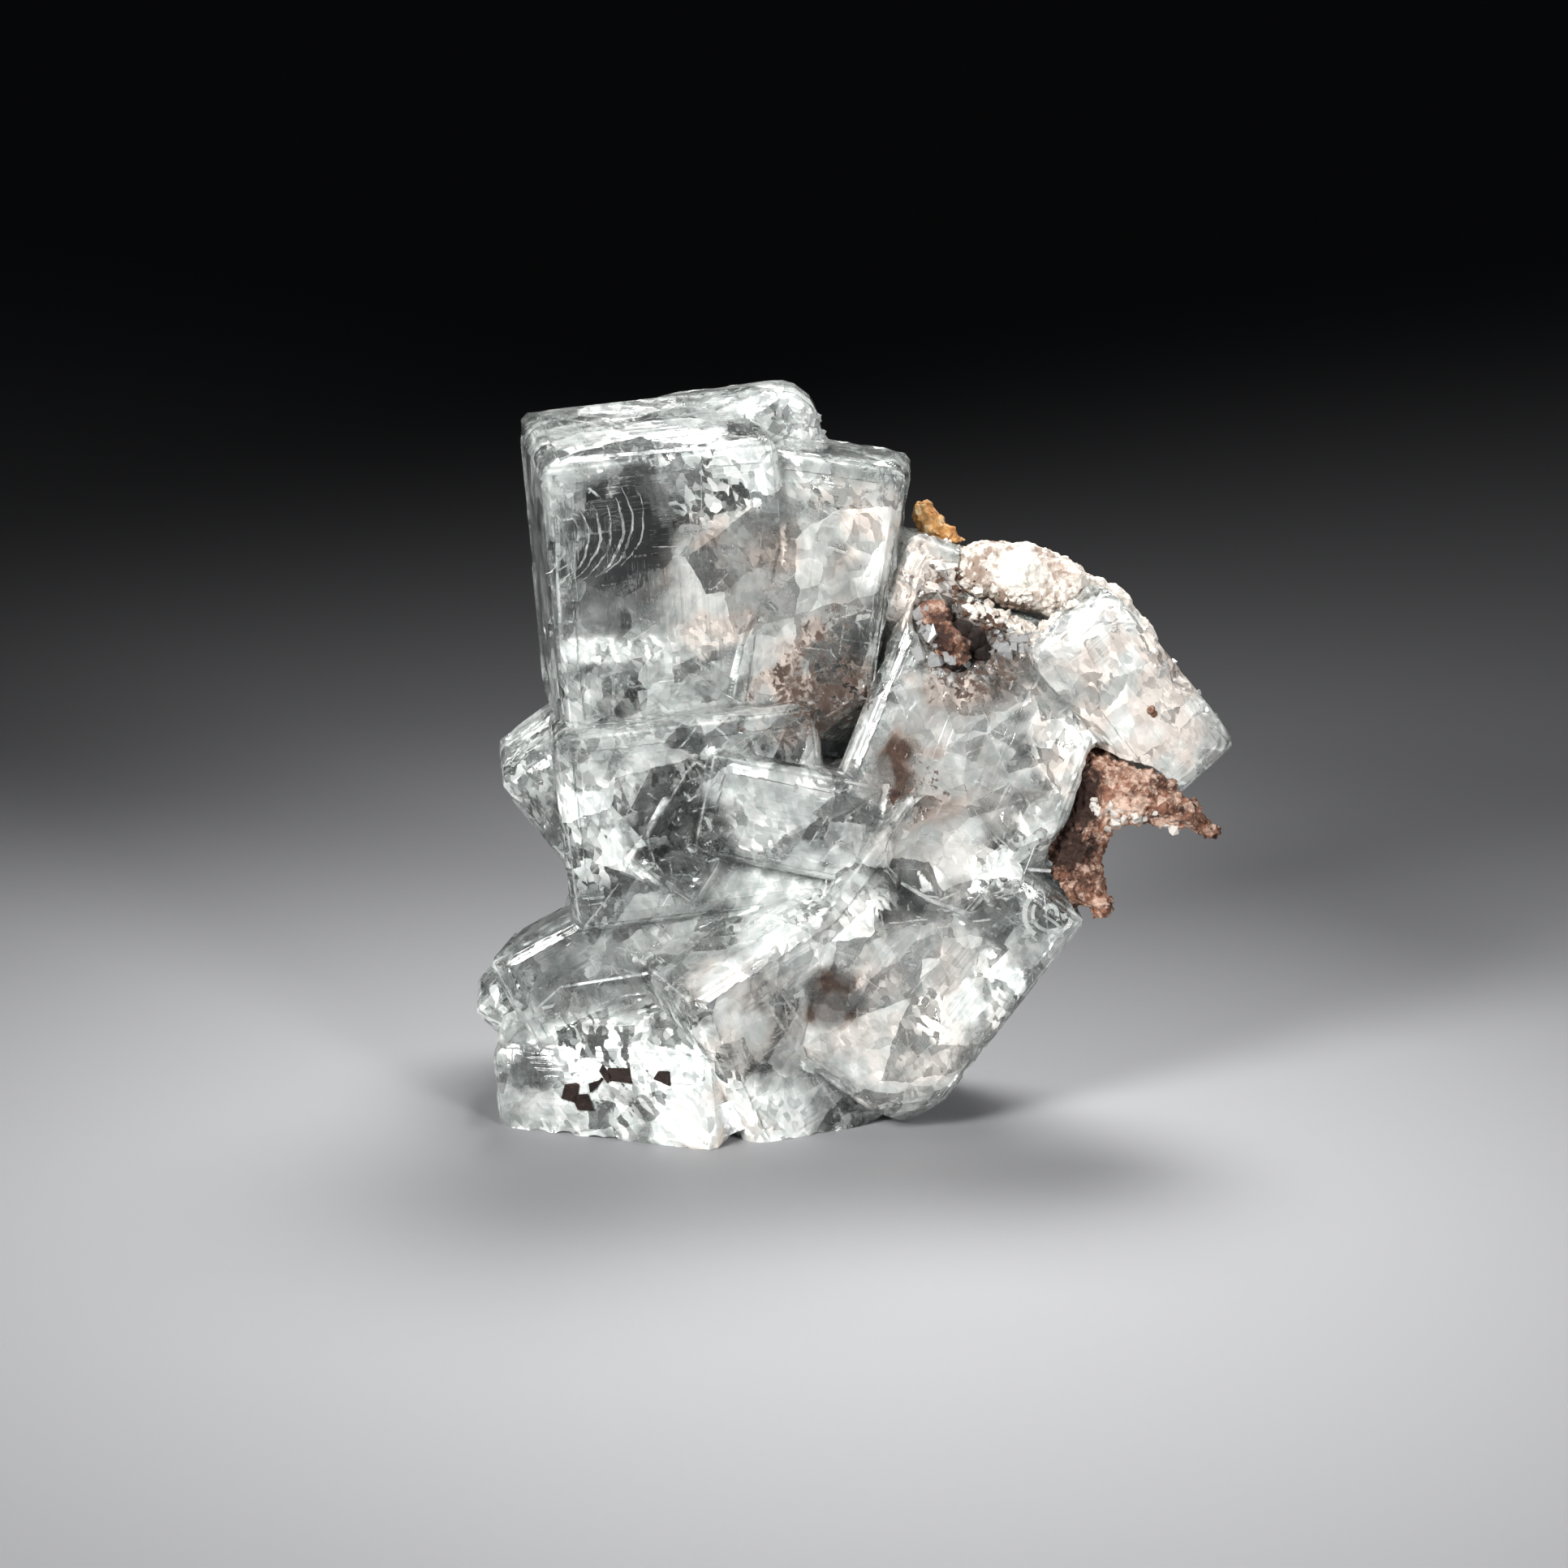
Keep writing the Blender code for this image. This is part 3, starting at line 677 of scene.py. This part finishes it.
def refine(bm, longest, longest_behind=None, behind=0.0):
    """Split edges until none is longer than longest, or longest_behind further back than behind."""
    bmesh.ops.triangulate(bm, faces=bm.faces[:])

    def limit(edge):
        return longest if longest_behind is None or edge.verts[0].co.y < behind else longest_behind

    for _ in range(12):
        long_edges = [edge for edge in bm.edges if edge.calc_length() > limit(edge)]
        if not long_edges:
            break
        bmesh.ops.subdivide_edges(bm, edges=long_edges, cuts=1)
        bmesh.ops.triangulate(bm, faces=[face for face in bm.faces if len(face.verts) > 3])
    drop_folds(bm)


def points_of(bm):
    return np.array([vert.co for vert in bm.verts])


def normals_of(bm):
    bm.normal_update()
    return np.array([vert.normal for vert in bm.verts])


def move_to(bm, points):
    for vert, point in zip(bm.verts, points):
        vert.co = point


def wobble(points, wave, seed):
    """Smooth noise between about -1 and 1 at each point; wave is its width in millimetres."""
    shift = Vector((seed, -seed, 2 * seed))
    return np.array([noise.noise(Vector(point) / (wave * MM) + shift) for point in points])


def growth_steps(points, normals):
    """How far each point drops down the growth steps round its crystal face, and how far in from
    the crystal's nearest edge it lies, both in millimetres."""
    drop = np.zeros(len(points))
    insets = np.full(len(points), DEEP_INSET)
    nearest = np.full(len(points), NEAR_FACE)
    ragged = wobble(points, 2.5, 3) * 0.5 + wobble(points, 0.9, 8) * 0.2
    for name, (_, size, _) in CRYSTALS.items():
        inverse = crystal_matrix(name).inverted()
        turn = np.array(inverse.to_3x3())
        local = points @ turn.T / MM + np.array(inverse.translation) / MM
        facing = np.abs(normals @ turn.T)
        depths = np.array(size) / 2 - np.abs(local)
        order = np.argsort(depths, axis=1)
        face_gap, edge_gap, _ = np.take_along_axis(depths, order, axis=1).T
        here = (np.abs(face_gap) < nearest) & (edge_gap > -0.1)
        insets[here] = np.maximum(edge_gap[here], 0)
        nearest[here] = np.abs(face_gap[here])
        flat = here & (np.take_along_axis(facing, order[:, :1], axis=1)[:, 0] > 0.95)
        depth = np.maximum(edge_gap - FIRST_STEP + ragged * 1.2, 0)
        rise = np.clip(depth % STEP_WIDTH / STEP_RISE, 0, 1)
        stairs = np.minimum(np.floor(depth / STEP_WIDTH) + rise, STEPS)
        drop[here] = 0
        drop[flat] = (STEPS - stairs[flat]) * STEP_HEIGHT
    return drop, insets


def chip_edges(bm, points, rng):
    """Small conchoidal chips, each a dish cut into a sharp edge by a sphere."""
    edges = [edge for edge in bm.edges if len(edge.link_faces) == 2 and edge.calc_face_angle(0) > 0.5]
    convex = [edge for edge in edges if edge.calc_face_angle_signed(0) > 0.3]
    for _ in range(CHIPS):
        edge = convex[int(rng.integers(len(convex)))]
        outward = (edge.link_faces[0].normal + edge.link_faces[1].normal).normalized()
        outward += Vector(rng.normal(0, 0.35, 3))
        outward.normalize()
        radius = LARGEST_CHIP * (0.35 + 0.65 * rng.random()) * MM
        centre = np.array(edge.verts[0].co + outward * radius * 0.8)
        offset = points - centre
        distance = np.linalg.norm(offset, axis=1)
        inside = distance < radius
        points[inside] = centre + offset[inside] / distance[inside, None] * radius
    return points


def from_places(points, table):
    """The value of a table of places at each point, ragged at the borders."""
    elsewhere, places = table
    values = np.full(len(points), elsewhere)
    ragged = 0.3 * wobble(points, 1.6, 31) + 0.25 * wobble(points, 0.7, 47)
    for _, place, reach, value in places:
        distance = np.linalg.norm(points - np.array(at(place)), axis=1) / (reach * MM)
        share = np.clip((1 + BORDER / 2 - distance + ragged) / BORDER, 0, 1)
        values = values * (1 - share) + value * share
    return values


def store(piece, name, values):
    """Keep a number for each vertex, for the material to read; values can be one for them all."""
    attribute = piece.data.attributes.new(name, "FLOAT", "POINT")
    attribute.data.foreach_set("value", np.full(len(piece.data.vertices), values, np.float32))


def fine_cluster(material):
    """The crystals' fine skin, with the numbers that its material reads."""
    bm = welded("fluorite_cluster")
    refine(bm, SKIN_EDGE * MM, SKIN_EDGE_BEHIND * MM, at((0, FRONT_ENDS_AT, 0)).y)
    rng = np.random.default_rng(7)
    points = points_of(bm)
    normals = normals_of(bm)
    drop, inset = growth_steps(points, normals)
    points = points - normals * (drop * MM)[:, None]
    points = chip_edges(bm, points, rng)
    points += normals * (wobble(points, 1.8, 5) * 0.012 * MM)[:, None]
    points = np.clip(points, box_low, box_high)
    move_to(bm, points)
    piece = new_piece("fluorite_crystals", bm, material)
    for name, table in (("haze", HAZE), ("fog", FOG), ("stain", STAIN), ("specks", SPECKS)):
        store(piece, name, from_places(points, table))
    store(piece, "inset", inset)
    store(piece, "cloud", wobble(points, 2.6, 91) + 0.5 * wobble(points, 1.1, 97))
    piece.data.shade_smooth()
    piece.data.set_sharp_from_angle(angle=math.radians(24))
    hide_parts("fluorite_cluster")


def fine_rock(node, name, material, relief, seed):
    """The fine, granular shape of one rough piece."""
    bm = welded(node)
    refine(bm, ROCK_EDGE * MM)
    points = points_of(bm)
    normals = normals_of(bm)
    lumps = wobble(points, 1.1, seed) * 0.8 + np.abs(wobble(points, 0.5, seed + 3)) * 0.9 - 0.4
    fine = wobble(points, 0.22, seed + 9) * 0.35
    swell = wobble(points, 2.2, seed + 5) * BROAD_SWELL
    points = points + normals * (((lumps + fine) * relief + swell) * MM)[:, None]
    move_to(bm, np.clip(points, box_low, box_high))
    piece = new_piece(name, bm, material)
    store(piece, "tone", from_places(points, TONE))
    piece.data.shade_smooth()
    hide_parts(node)


# ---------------------------------------------------------------- inside the crystals


def solid_tree():
    """The cluster as a tree for ray casts."""
    bm = welded("fluorite_cluster")
    tree = BVHTree.FromBMesh(bm)
    bm.free()
    return tree


def is_inside(tree, point, margin):
    """Whether a point lies in the crystals, more than margin from their skin."""
    place, normal, _, distance = tree.find_nearest(point)
    return distance > margin and (place - point).dot(normal) > 0


def in_dark_window(point):
    """Whether a point lies in one of the places that stay free of sealed-in pieces."""
    return any((point - at(place)).length < reach * MM for place, reach in DARK_WINDOWS)


def add_crack(bm, tree, centre, normal, radius, rng, spokes=None, rings=None):
    """One crack: a thin closed gap whose two walls face each other, bowed and rippled."""
    if not is_inside(tree, centre, 0.4 * MM) or in_dark_window(centre):
        return
    turn = normal.to_track_quat("Z", "Y").to_matrix()
    spokes = spokes or max(16, int(radius / MM * 9))
    rings = rings or max(4, int(radius / MM * 3))
    phase = rng.random() * 100
    wave = (0.45 + 0.4 * rng.random()) * MM
    lean = rng.normal(0, 0.35, 2)
    rims = []
    for spoke in range(spokes):
        angle = 2 * math.pi * spoke / spokes
        way = turn @ Vector((math.cos(angle), math.sin(angle), 0))
        ragged = noise.noise(Vector((math.cos(angle) * 1.3, math.sin(angle) * 1.3, phase)))
        hit = tree.ray_cast(centre, way)[3] or radius
        rims.append(min(radius * (0.8 + 0.5 * ragged), max(hit - 0.25 * MM, 0.3 * MM)))

    def height(x, y):
        far = math.hypot(x - lean[0] * radius, y - lean[1] * radius)
        swell = noise.noise(Vector((x, y, phase * MM)) / (2.2 * MM)) * 0.08 * MM
        ripple = math.sin(far / wave * 2 * math.pi + 2 * noise.noise(Vector((x, y, phase)) / (1.5 * MM)))
        bow = CRACK_BOW * (x * x + y * y) / radius
        return bow + swell + CRACK_RIPPLE * MM * ripple * min(1, far / radius)

    def wall_point(spoke, share, side=0):
        """A corner of one wall, on a spoke; the walls meet at the rim, where share is 1."""
        angle = 2 * math.pi * spoke / spokes
        x = rims[spoke] * share * math.cos(angle)
        y = rims[spoke] * share * math.sin(angle)
        open_by = side * CRACK_GAP / 2 * MM * (1 - share * share)
        return bm.verts.new(centre + turn @ Vector((x, y, height(x, y) + open_by)))

    walls = []
    for side in (-1, 1):
        hub = bm.verts.new(centre + turn @ Vector((0, 0, height(0, 0) + side * CRACK_GAP / 2 * MM)))
        loops = [
            [wall_point(spoke, ring / rings, side) for spoke in range(spokes)] for ring in range(1, rings)
        ]
        walls.append((side, hub, loops))
    rim = [wall_point(spoke, 1) for spoke in range(spokes)]
    for side, hub, loops in walls:
        for spoke in range(spokes):
            after = (spoke + 1) % spokes
            corners = [(hub, loops[0][spoke], loops[0][after])]
            for inner, outer in zip(loops, loops[1:] + [rim]):
                corners.append((inner[spoke], outer[spoke], outer[after], inner[after]))
            for face in corners:
                bm.faces.new(face if side < 0 else face[::-1])


def octahedral_normal(name, rng):
    """One of a crystal's cleavage directions, with a little scatter."""
    corner = Vector([1 if rng.random() < 0.5 else -1 for _ in range(3)]).normalized()
    direction = crystal_matrix(name).to_3x3() @ corner + Vector(rng.normal(0, 0.12, 3))
    return direction.normalized()


def cubic_normal(name, rng):
    """One of a crystal's face directions, with a little scatter."""
    axis = Vector((0, 0, 0))
    axis[int(rng.integers(3))] = 1
    return (crystal_matrix(name).to_3x3() @ axis + Vector(rng.normal(0, 0.08, 3))).normalized()


def by_volume(rng, count):
    """The names of crystals picked at random, large ones more often."""
    volumes = np.array([math.prod(size) for _, size, _ in CRYSTALS.values()])
    names = list(CRYSTALS)
    return [names[pick] for pick in rng.choice(len(names), count, p=volumes / volumes.sum())]


def random_place(name, rng, spread=0.8):
    """Somewhere in a crystal; spread keeps it off the faces."""
    half = Vector(CRYSTALS[name][1]) / 2 * spread
    local = Vector([(2 * rng.random() - 1) * half[axis] for axis in range(3)]) * MM
    return crystal_matrix(name) @ local


def ribbon(bm, one_side, other_side, across):
    """A thin closed ribbon between two rows of points; across is half its thickness, as a vector."""
    around = ((one_side, across), (other_side, across), (other_side, -across), (one_side, -across))
    rows = [[bm.verts.new(point + offset) for point in side] for side, offset in around]
    for row, after in zip(rows, rows[1:] + rows[:1]):
        for step in range(len(row) - 1):
            bm.faces.new((row[step], row[step + 1], after[step + 1], after[step]))
    bm.faces.new([row[0] for row in rows])
    bm.faces.new([row[-1] for row in rows[::-1]])


def ribbon_piece(name, bm, material, milk):
    """The piece made of the ribbons in bm, with how milky they are."""
    bmesh.ops.recalc_face_normals(bm, faces=bm.faces[:])
    piece = new_piece(name, bm, material)
    store(piece, "milk", milk)


def sheet(bm, corners, thickness):
    """A thin closed sheet with flat walls and the given corners."""
    across = (corners[1] - corners[0]).cross(corners[2] - corners[0]).normalized() * thickness / 2
    front = [bm.verts.new(corner + across) for corner in corners]
    back = [bm.verts.new(corner - across) for corner in corners]
    bm.faces.new(front)
    bm.faces.new(back[::-1])
    ahead = zip(front, back, back[1:] + back[:1], front[1:] + front[:1])
    for quad in ahead:
        bm.faces.new(quad)


def cleavage_sheets(tree, material):
    """Flat, angular cleavage gaps, most of them close under the skin, along each crystal's planes."""
    bm = bmesh.new()
    rng = np.random.default_rng(404)
    milk = []
    for name in by_volume(rng, SHEETS):
        half = Vector(CRYSTALS[name][1]) / 2
        local = Vector([(2 * rng.random() - 1) * half[axis] for axis in range(3)])
        if rng.random() < 0.75:
            axis = int(rng.integers(3))
            local[axis] = math.copysign(half[axis] - 0.3 - 1.6 * rng.random() ** 1.5, rng.random() - 0.5)
        centre = crystal_matrix(name) @ (local * MM)
        if not is_inside(tree, centre, 0.3 * MM) or in_dark_window(centre):
            continue
        radius = (0.5 + 3.6 * rng.random() ** 1.8) * MM
        normal = octahedral_normal(name, rng) if rng.random() < 0.6 else cubic_normal(name, rng)
        turn = normal.to_track_quat("Z", "Y").to_matrix()
        sides = int(rng.integers(3, 7))
        start = rng.random() * 2 * math.pi
        corners = []
        for side in range(sides):
            angle = start + 2 * math.pi * (side + 0.6 * (rng.random() - 0.5)) / sides
            way = turn @ Vector((math.cos(angle), math.sin(angle), 0))
            reach = radius * (0.55 + 0.75 * rng.random())
            hit = tree.ray_cast(centre, way)[3] or reach
            corners.append(centre + way * min(reach, max(hit - 0.2 * MM, 0.1 * MM)))
        sheet(bm, corners, SHEET_THICKNESS * MM)
        milk += [0.02 + 0.95 * rng.random() ** 2.2] * (2 * sides)
    piece = new_piece("cleavage_sheets", bm, material)
    store(piece, "milk", milk)


def cracks(tree, material):
    """The large bowed cracks, a few in each crystal."""
    bm = bmesh.new()
    rng = np.random.default_rng(21)
    for name, (_, size, _) in CRYSTALS.items():
        for _ in range(CRACKS_EACH):
            radius = min(size) * (0.2 + 0.35 * rng.random()) * MM
            add_crack(bm, tree, random_place(name, rng), octahedral_normal(name, rng), radius, rng)
    piece = new_piece("curved_cracks", bm, material)
    store(piece, "milk", 0.12)
    piece.data.shade_smooth()


def small_flakes(tree, material):
    """Small flat gaps that glint, thick in the hazy places and thin elsewhere."""
    bm = bmesh.new()
    rng = np.random.default_rng(77)
    for name in by_volume(rng, FLAKES):
        place = random_place(name, rng, 0.95)
        radius = (0.25 + 0.9 * rng.random() ** 2) * MM
        add_crack(bm, tree, place, octahedral_normal(name, rng), radius, rng, spokes=9, rings=2)
    piece = new_piece("small_flakes", bm, material)
    store(piece, "milk", 0.25)


def glints(tree, material):
    """Tiny bright slivers strewn close under the skin."""
    bm = bmesh.new()
    rng = np.random.default_rng(515)
    for name in by_volume(rng, GLINTS):
        half = Vector(CRYSTALS[name][1]) / 2
        axis = int(rng.integers(3))
        local = Vector([(2 * rng.random() - 1) * reach for reach in half])
        local[axis] = math.copysign(half[axis] - 0.15 - 0.7 * rng.random(), rng.random() - 0.5)
        centre = crystal_matrix(name) @ (local * MM)
        if not is_inside(tree, centre, 0.12 * MM) or in_dark_window(centre):
            continue
        turn = octahedral_normal(name, rng).to_track_quat("Z", "Y").to_matrix()
        turn = turn @ Matrix.Rotation(rng.random() * math.pi, 3, "Z")
        along = 0.1 + 0.4 * rng.random() ** 2
        across = along * (0.15 + 0.5 * rng.random())
        corners = []
        for x, y in ((-1, -1), (1, -1), (1, 1), (-1, 1)):
            shift = rng.normal(0, 0.3, 2)
            corner = Vector(((x + shift[0]) * along, (y + shift[1]) * across, 0))
            corners.append(centre + turn @ corner * MM)
        if all(is_inside(tree, corner, 0.05 * MM) for corner in corners):
            sheet(bm, corners, GLINT_THICKNESS * MM)
    piece = new_piece("glints", bm, material)
    store(piece, "milk", 0.9)


def veils(tree, outlines, name, material):
    """Thin closed sheets just under the skin, one for each outline; milk is for the white ones."""
    bm = bmesh.new()
    for corners in outlines:
        spots = [tree.find_nearest(at(corner)) for corner in corners]
        sheet(bm, [spot - normal * VEIL_DEPTH * MM for spot, normal, _, _ in spots], VEIL_THICKNESS * MM)
    piece = new_piece(name, bm, material)
    store(piece, "milk", 1.4)


def ridges(material):
    """Thin bright ribbons that follow the lines in RIDGES."""
    bm = bmesh.new()
    thick = Vector((0, RIDGE_THICKNESS / 2, 0)) * MM
    for width, line in RIDGES:
        places = [at(point) for point in line]
        before = places[:1] + places[:-1]
        after = places[1:] + places[-1:]
        steps = [second - first for first, second in zip(before, after)]
        asides = [step.cross(Vector((0, -1, 0))).normalized() * width / 2 * MM for step in steps]
        one_side = [place - aside for place, aside in zip(places, asides)]
        other_side = [place + aside for place, aside in zip(places, asides)]
        ribbon(bm, one_side, other_side, thick)
    ribbon_piece("bright_ridges", bm, material, 0.6)


def hollow_walls(tree, material):
    """The curved walls in HOLLOW_WALLS, as bright ribbons just under the skin."""
    bm = bmesh.new()
    for width, radius, span in HOLLOW_WALLS:
        angles = np.radians(np.linspace(*span, WALL_POINTS))
        sides = []
        for reach in (radius - width / 2, radius + width / 2):
            offsets = [Vector((reach * math.cos(angle), 0, reach * math.sin(angle))) for angle in angles]
            spots = [tree.find_nearest(at(Vector(HOLLOW_MIDDLE) + offset)) for offset in offsets]
            sides.append([spot - normal * WALL_DEPTH * MM for spot, normal, _, _ in spots])
        ribbon(bm, *sides, Vector((0, ARC_THICKNESS / 2, 0)) * MM)
    ribbon_piece("hollow_walls", bm, material, 1.0)


def ripples(material):
    """Curved ripples, as thin bright ribbons just behind the tall block's front."""
    bm = bmesh.new()
    rng = np.random.default_rng(88)
    matrix = crystal_matrix("tall_block")
    thick = matrix.to_3x3() @ Vector((0, ARC_THICKNESS / 2, 0)) * MM
    front = -CRYSTALS["tall_block"][1][1] / 2
    for centre, radius, span in RIPPLES:
        depth = front + 0.4 + 0.5 * rng.random()
        half_width = 0.05 + 0.05 * rng.random()
        angles = np.radians(np.linspace(*span, RIPPLE_POINTS))
        sway = 0.05 * np.sin(angles * 9 + 6 * rng.random()) + 0.02 * np.sin(angles * 23)
        taper = np.sin(np.linspace(0.15, math.pi - 0.15, RIPPLE_POINTS))
        sides = []
        for side in (-half_width, half_width):
            reach = radius + side * taper + sway
            xs = centre[0] + reach * np.cos(angles)
            zs = centre[1] + reach * np.sin(angles)
            sides.append([matrix @ (Vector((x, depth, z)) * MM) for x, z in zip(xs, zs)])
        ribbon(bm, *sides, thick)
    ribbon_piece("ripple_arcs", bm, material, 0.6)


def cleavage_lines(tree, material):
    """Thin straight bright lines under the skin, along each crystal's edges and face diagonals."""
    bm = bmesh.new()
    rng = np.random.default_rng(606)
    milk = []
    for name in by_volume(rng, LINES):
        half = Vector(CRYSTALS[name][1]) / 2
        face = int(rng.integers(3))
        first, second = [axis for axis in range(3) if axis != face]
        local = Vector([(2 * rng.random() - 1) * half[axis] * 0.9 for axis in range(3)])
        local[face] = math.copysign(half[face] - 0.25 - 0.7 * rng.random(), rng.random() - 0.5)
        way = Vector((0, 0, 0))
        way[first] = 1
        way[second] = float(rng.choice((0, 0, -1, 1, 0.5))) + rng.normal(0, 0.06)
        if rng.random() < 0.5:
            way[first], way[second] = way[second], way[first]
        outward = Vector((0, 0, 0))
        outward[face] = 1
        way.normalize()
        length = 0.6 + 3.4 * rng.random() ** 2
        half_width = 0.03 + 0.05 * rng.random()
        matrix = crystal_matrix(name)
        ends = [matrix @ ((local + way * side * length / 2) * MM) for side in (-1, 0, 1)]
        if in_dark_window(ends[1]) or not all(is_inside(tree, end, 0.12 * MM) for end in ends):
            continue
        turn = matrix.to_3x3()
        aside = turn @ way.cross(outward).normalized() * half_width * MM
        thick = turn @ outward * (LINE_THICKNESS / 2) * MM
        ribbon(bm, [end - aside for end in ends], [end + aside for end in ends], thick)
        milk += [0.4 + 0.55 * rng.random()] * 12
    ribbon_piece("cleavage_lines", bm, material, milk)


def surface_tree():
    """All the CAD pieces as one tree, for setting grains on them."""
    bm = bmesh.new()
    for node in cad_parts.values():
        if node.type == "MESH":
            bm.from_mesh(node.data)
    tree = BVHTree.FromBMesh(bm)
    bm.free()
    return tree


def grains(materials):
    """Small angular grains set along the lines in GRAIN_PATCHES, half sunk in the surface."""
    tree = surface_tree()
    rng = np.random.default_rng(303)
    meshes = {name: bmesh.new() for name in materials}
    for name, line, stray, count, largest in GRAIN_PATCHES:
        places = [at(point) for point in line]
        for _ in range(count):
            leg = int(rng.integers(len(places) - 1))
            on_line = places[leg].lerp(places[leg + 1], rng.random())
            spot, normal, _, _ = tree.find_nearest(on_line + Vector(rng.normal(0, 0.5 * stray, 3)) * MM)
            edge = largest * (0.35 + 0.65 * rng.random() ** 1.5) * MM
            turn = Euler(rng.random(3) * math.pi).to_matrix().to_4x4()
            size = Matrix.Diagonal((*(edge * (0.6 + 0.6 * rng.random(3))), 1.0))
            place = Matrix.Translation(spot - normal * edge * 0.25)
            if name == "clear":
                made = bmesh.ops.create_cube(meshes[name], size=1.0, matrix=place @ turn @ size)
            else:
                made = bmesh.ops.create_icosphere(
                    meshes[name], subdivisions=1, radius=0.5, matrix=place @ turn @ size)
            for vert in made["verts"]:
                vert.co += Vector(rng.normal(0, 0.1 * edge, 3))
                vert.co = Vector(np.clip(vert.co, box_low, box_high))
    for name, (material, slot) in materials.items():
        new_piece(name + "_grains", meshes[name], material)


def dark_plates(tree, material):
    """Flat dark plates that lie level with the skin."""
    bm = bmesh.new()
    rng = np.random.default_rng(5)
    for near, (along, across), angle in DARK_PLATES:
        spot, normal, _, _ = tree.find_nearest(at(near))
        turn = normal.to_track_quat("Z", "Y").to_matrix().to_4x4()
        turn = turn @ Matrix.Rotation(math.radians(angle), 4, "Z")
        size = Matrix.Diagonal((along * MM, across * MM, PLATE_THICKNESS * MM, 1.0))
        place = Matrix.Translation(spot - normal * PLATE_SUNK * MM)
        made = bmesh.ops.create_cube(bm, size=1.0, matrix=place @ turn @ size)
        for vert in made["verts"]:
            vert.co += turn.to_3x3() @ Vector((*rng.normal(0, PLATE_SKEW, 2), 0)) * MM
    new_piece("dark_plates", bm, material)


def lump(name, lumps, material, seed):
    """One rough lump grown round a few balls: most are inclusions, and the ring-like hollow's dark
    crescent is painted shade.
    """
    bm = bmesh.new()
    for place, radius in lumps:
        matrix = Matrix.Translation(at(place))
        bmesh.ops.create_icosphere(bm, subdivisions=4, radius=radius * MM, matrix=matrix)
    points = points_of(bm)
    normals = normals_of(bm)
    relief = wobble(points, 0.5, seed) * 0.12 + wobble(points, 0.2, seed + 1) * 0.05
    move_to(bm, points + normals * (relief * MM)[:, None])
    new_piece(name, bm, material).data.shade_smooth()


# ---------------------------------------------------------------- stage


def area_light(name, place, target, size, power, spread):
    light = bpy.data.lights.new(name, "AREA")
    light.shape = "RECTANGLE"
    light.size, light.size_y = size
    light.energy = power
    light.spread = math.radians(spread)
    item = bpy.data.objects.new(name, light)
    item.location = place
    item.rotation_euler = (Vector(target) - Vector(place)).to_track_quat("-Z", "Y").to_euler()
    bpy.context.scene.collection.objects.link(item)


def build_stage():
    bm = bmesh.new()
    bmesh.ops.create_grid(bm, x_segments=1, y_segments=1, size=FLOOR_REACH)
    mesh = bpy.data.meshes.new("floor")
    bm.to_mesh(mesh)
    bm.free()
    floor = bpy.data.objects.new("floor", mesh)
    bpy.context.scene.collection.objects.link(floor)
    material, _ = principled("pale floor", FLOOR_COLOUR, 0.6)
    floor.data.materials.append(material)

    world = bpy.data.worlds.new("studio")
    world.use_nodes = True
    background = world.node_tree.nodes["Background"]
    background.inputs["Color"].default_value = (*ROOM_COLOUR, 1.0)
    bpy.context.scene.world = world

    for row in LIGHTS:
        area_light(*row)


def build_camera():
    camera = bpy.data.cameras.new("camera")
    camera.lens = CAMERA_LENS
    camera.sensor_width = 36.0
    camera.clip_start = 0.01
    item = bpy.data.objects.new("camera", camera)
    item.location = at(CAMERA_PLACE)
    item.rotation_euler = (math.radians(90 - CAMERA_TILT), 0, 0)
    bpy.context.scene.collection.objects.link(item)
    bpy.context.scene.camera = item


def build():
    build_camera()
    build_stage()
    clear = fluorite_material()
    tree = solid_tree()
    fine_cluster(clear)
    walls = inner_material("crack walls", 0.3)
    cracks(tree, walls)
    small_flakes(tree, walls)
    flat = inner_material("sheet walls", 0.12)
    cleavage_sheets(tree, flat)
    glints(tree, flat)
    veils(tree, VEILS, "white_veils", flat)
    ridges(flat)
    hollow_walls(tree, flat)
    ripples(flat)
    cleavage_lines(tree, flat)
    rust, ochre, cream, brown, black = (earthy_material(*row) for row in EARTHS)
    veils(tree, BROWN_FILMS, "brown_films", brown)
    dark_plates(tree, black)
    milky, shader = principled("milky grains", (0.93, 0.94, 0.94), 0.15)
    shader.inputs["IOR"].default_value = FLUORITE_IOR
    shader.inputs["Transmission Weight"].default_value = 0.7
    pale, _ = principled("pale grains", (0.56, 0.53, 0.49), 0.5)
    grains({
        "brown": (brown, "rust"),
        "cream": (cream, "crust"),
        "clear": (milky, "fluorite"),
        "pale": (pale, "crust"),
    })
    lump("dark_pocket", DARK_POCKET, black, 59)
    lump("painted_hollow_shade", PAINTED_HOLLOW_SHADE, brown, 73)
    lump("brown_flame", BROWN_FLAME, brown, 61)
    lump("brown_patch", BROWN_PATCH, brown, 67)
    lump("red_spot", RED_SPOT, rust, 71)
    fine_rock("matrix_claw", "rusty_claw", rust, 0.5, 11)
    fine_rock("rusty_grain", "rusty_fleck", rust, 0.3, 37)
    fine_rock("ochre_grain", "ochre_fleck", ochre, 0.3, 41)
    fine_rock("matrix_crust", "cream_crust", cream, 0.22, 53)
    scene = bpy.context.scene
    scene.cycles.max_bounces = LIGHT_BOUNCES
    scene.cycles.transmission_bounces = LIGHT_BOUNCES
    scene.cycles.use_denoising = True
    scene.view_settings.view_transform = "Standard"
    scene.view_settings.look = "Medium High Contrast"


build()
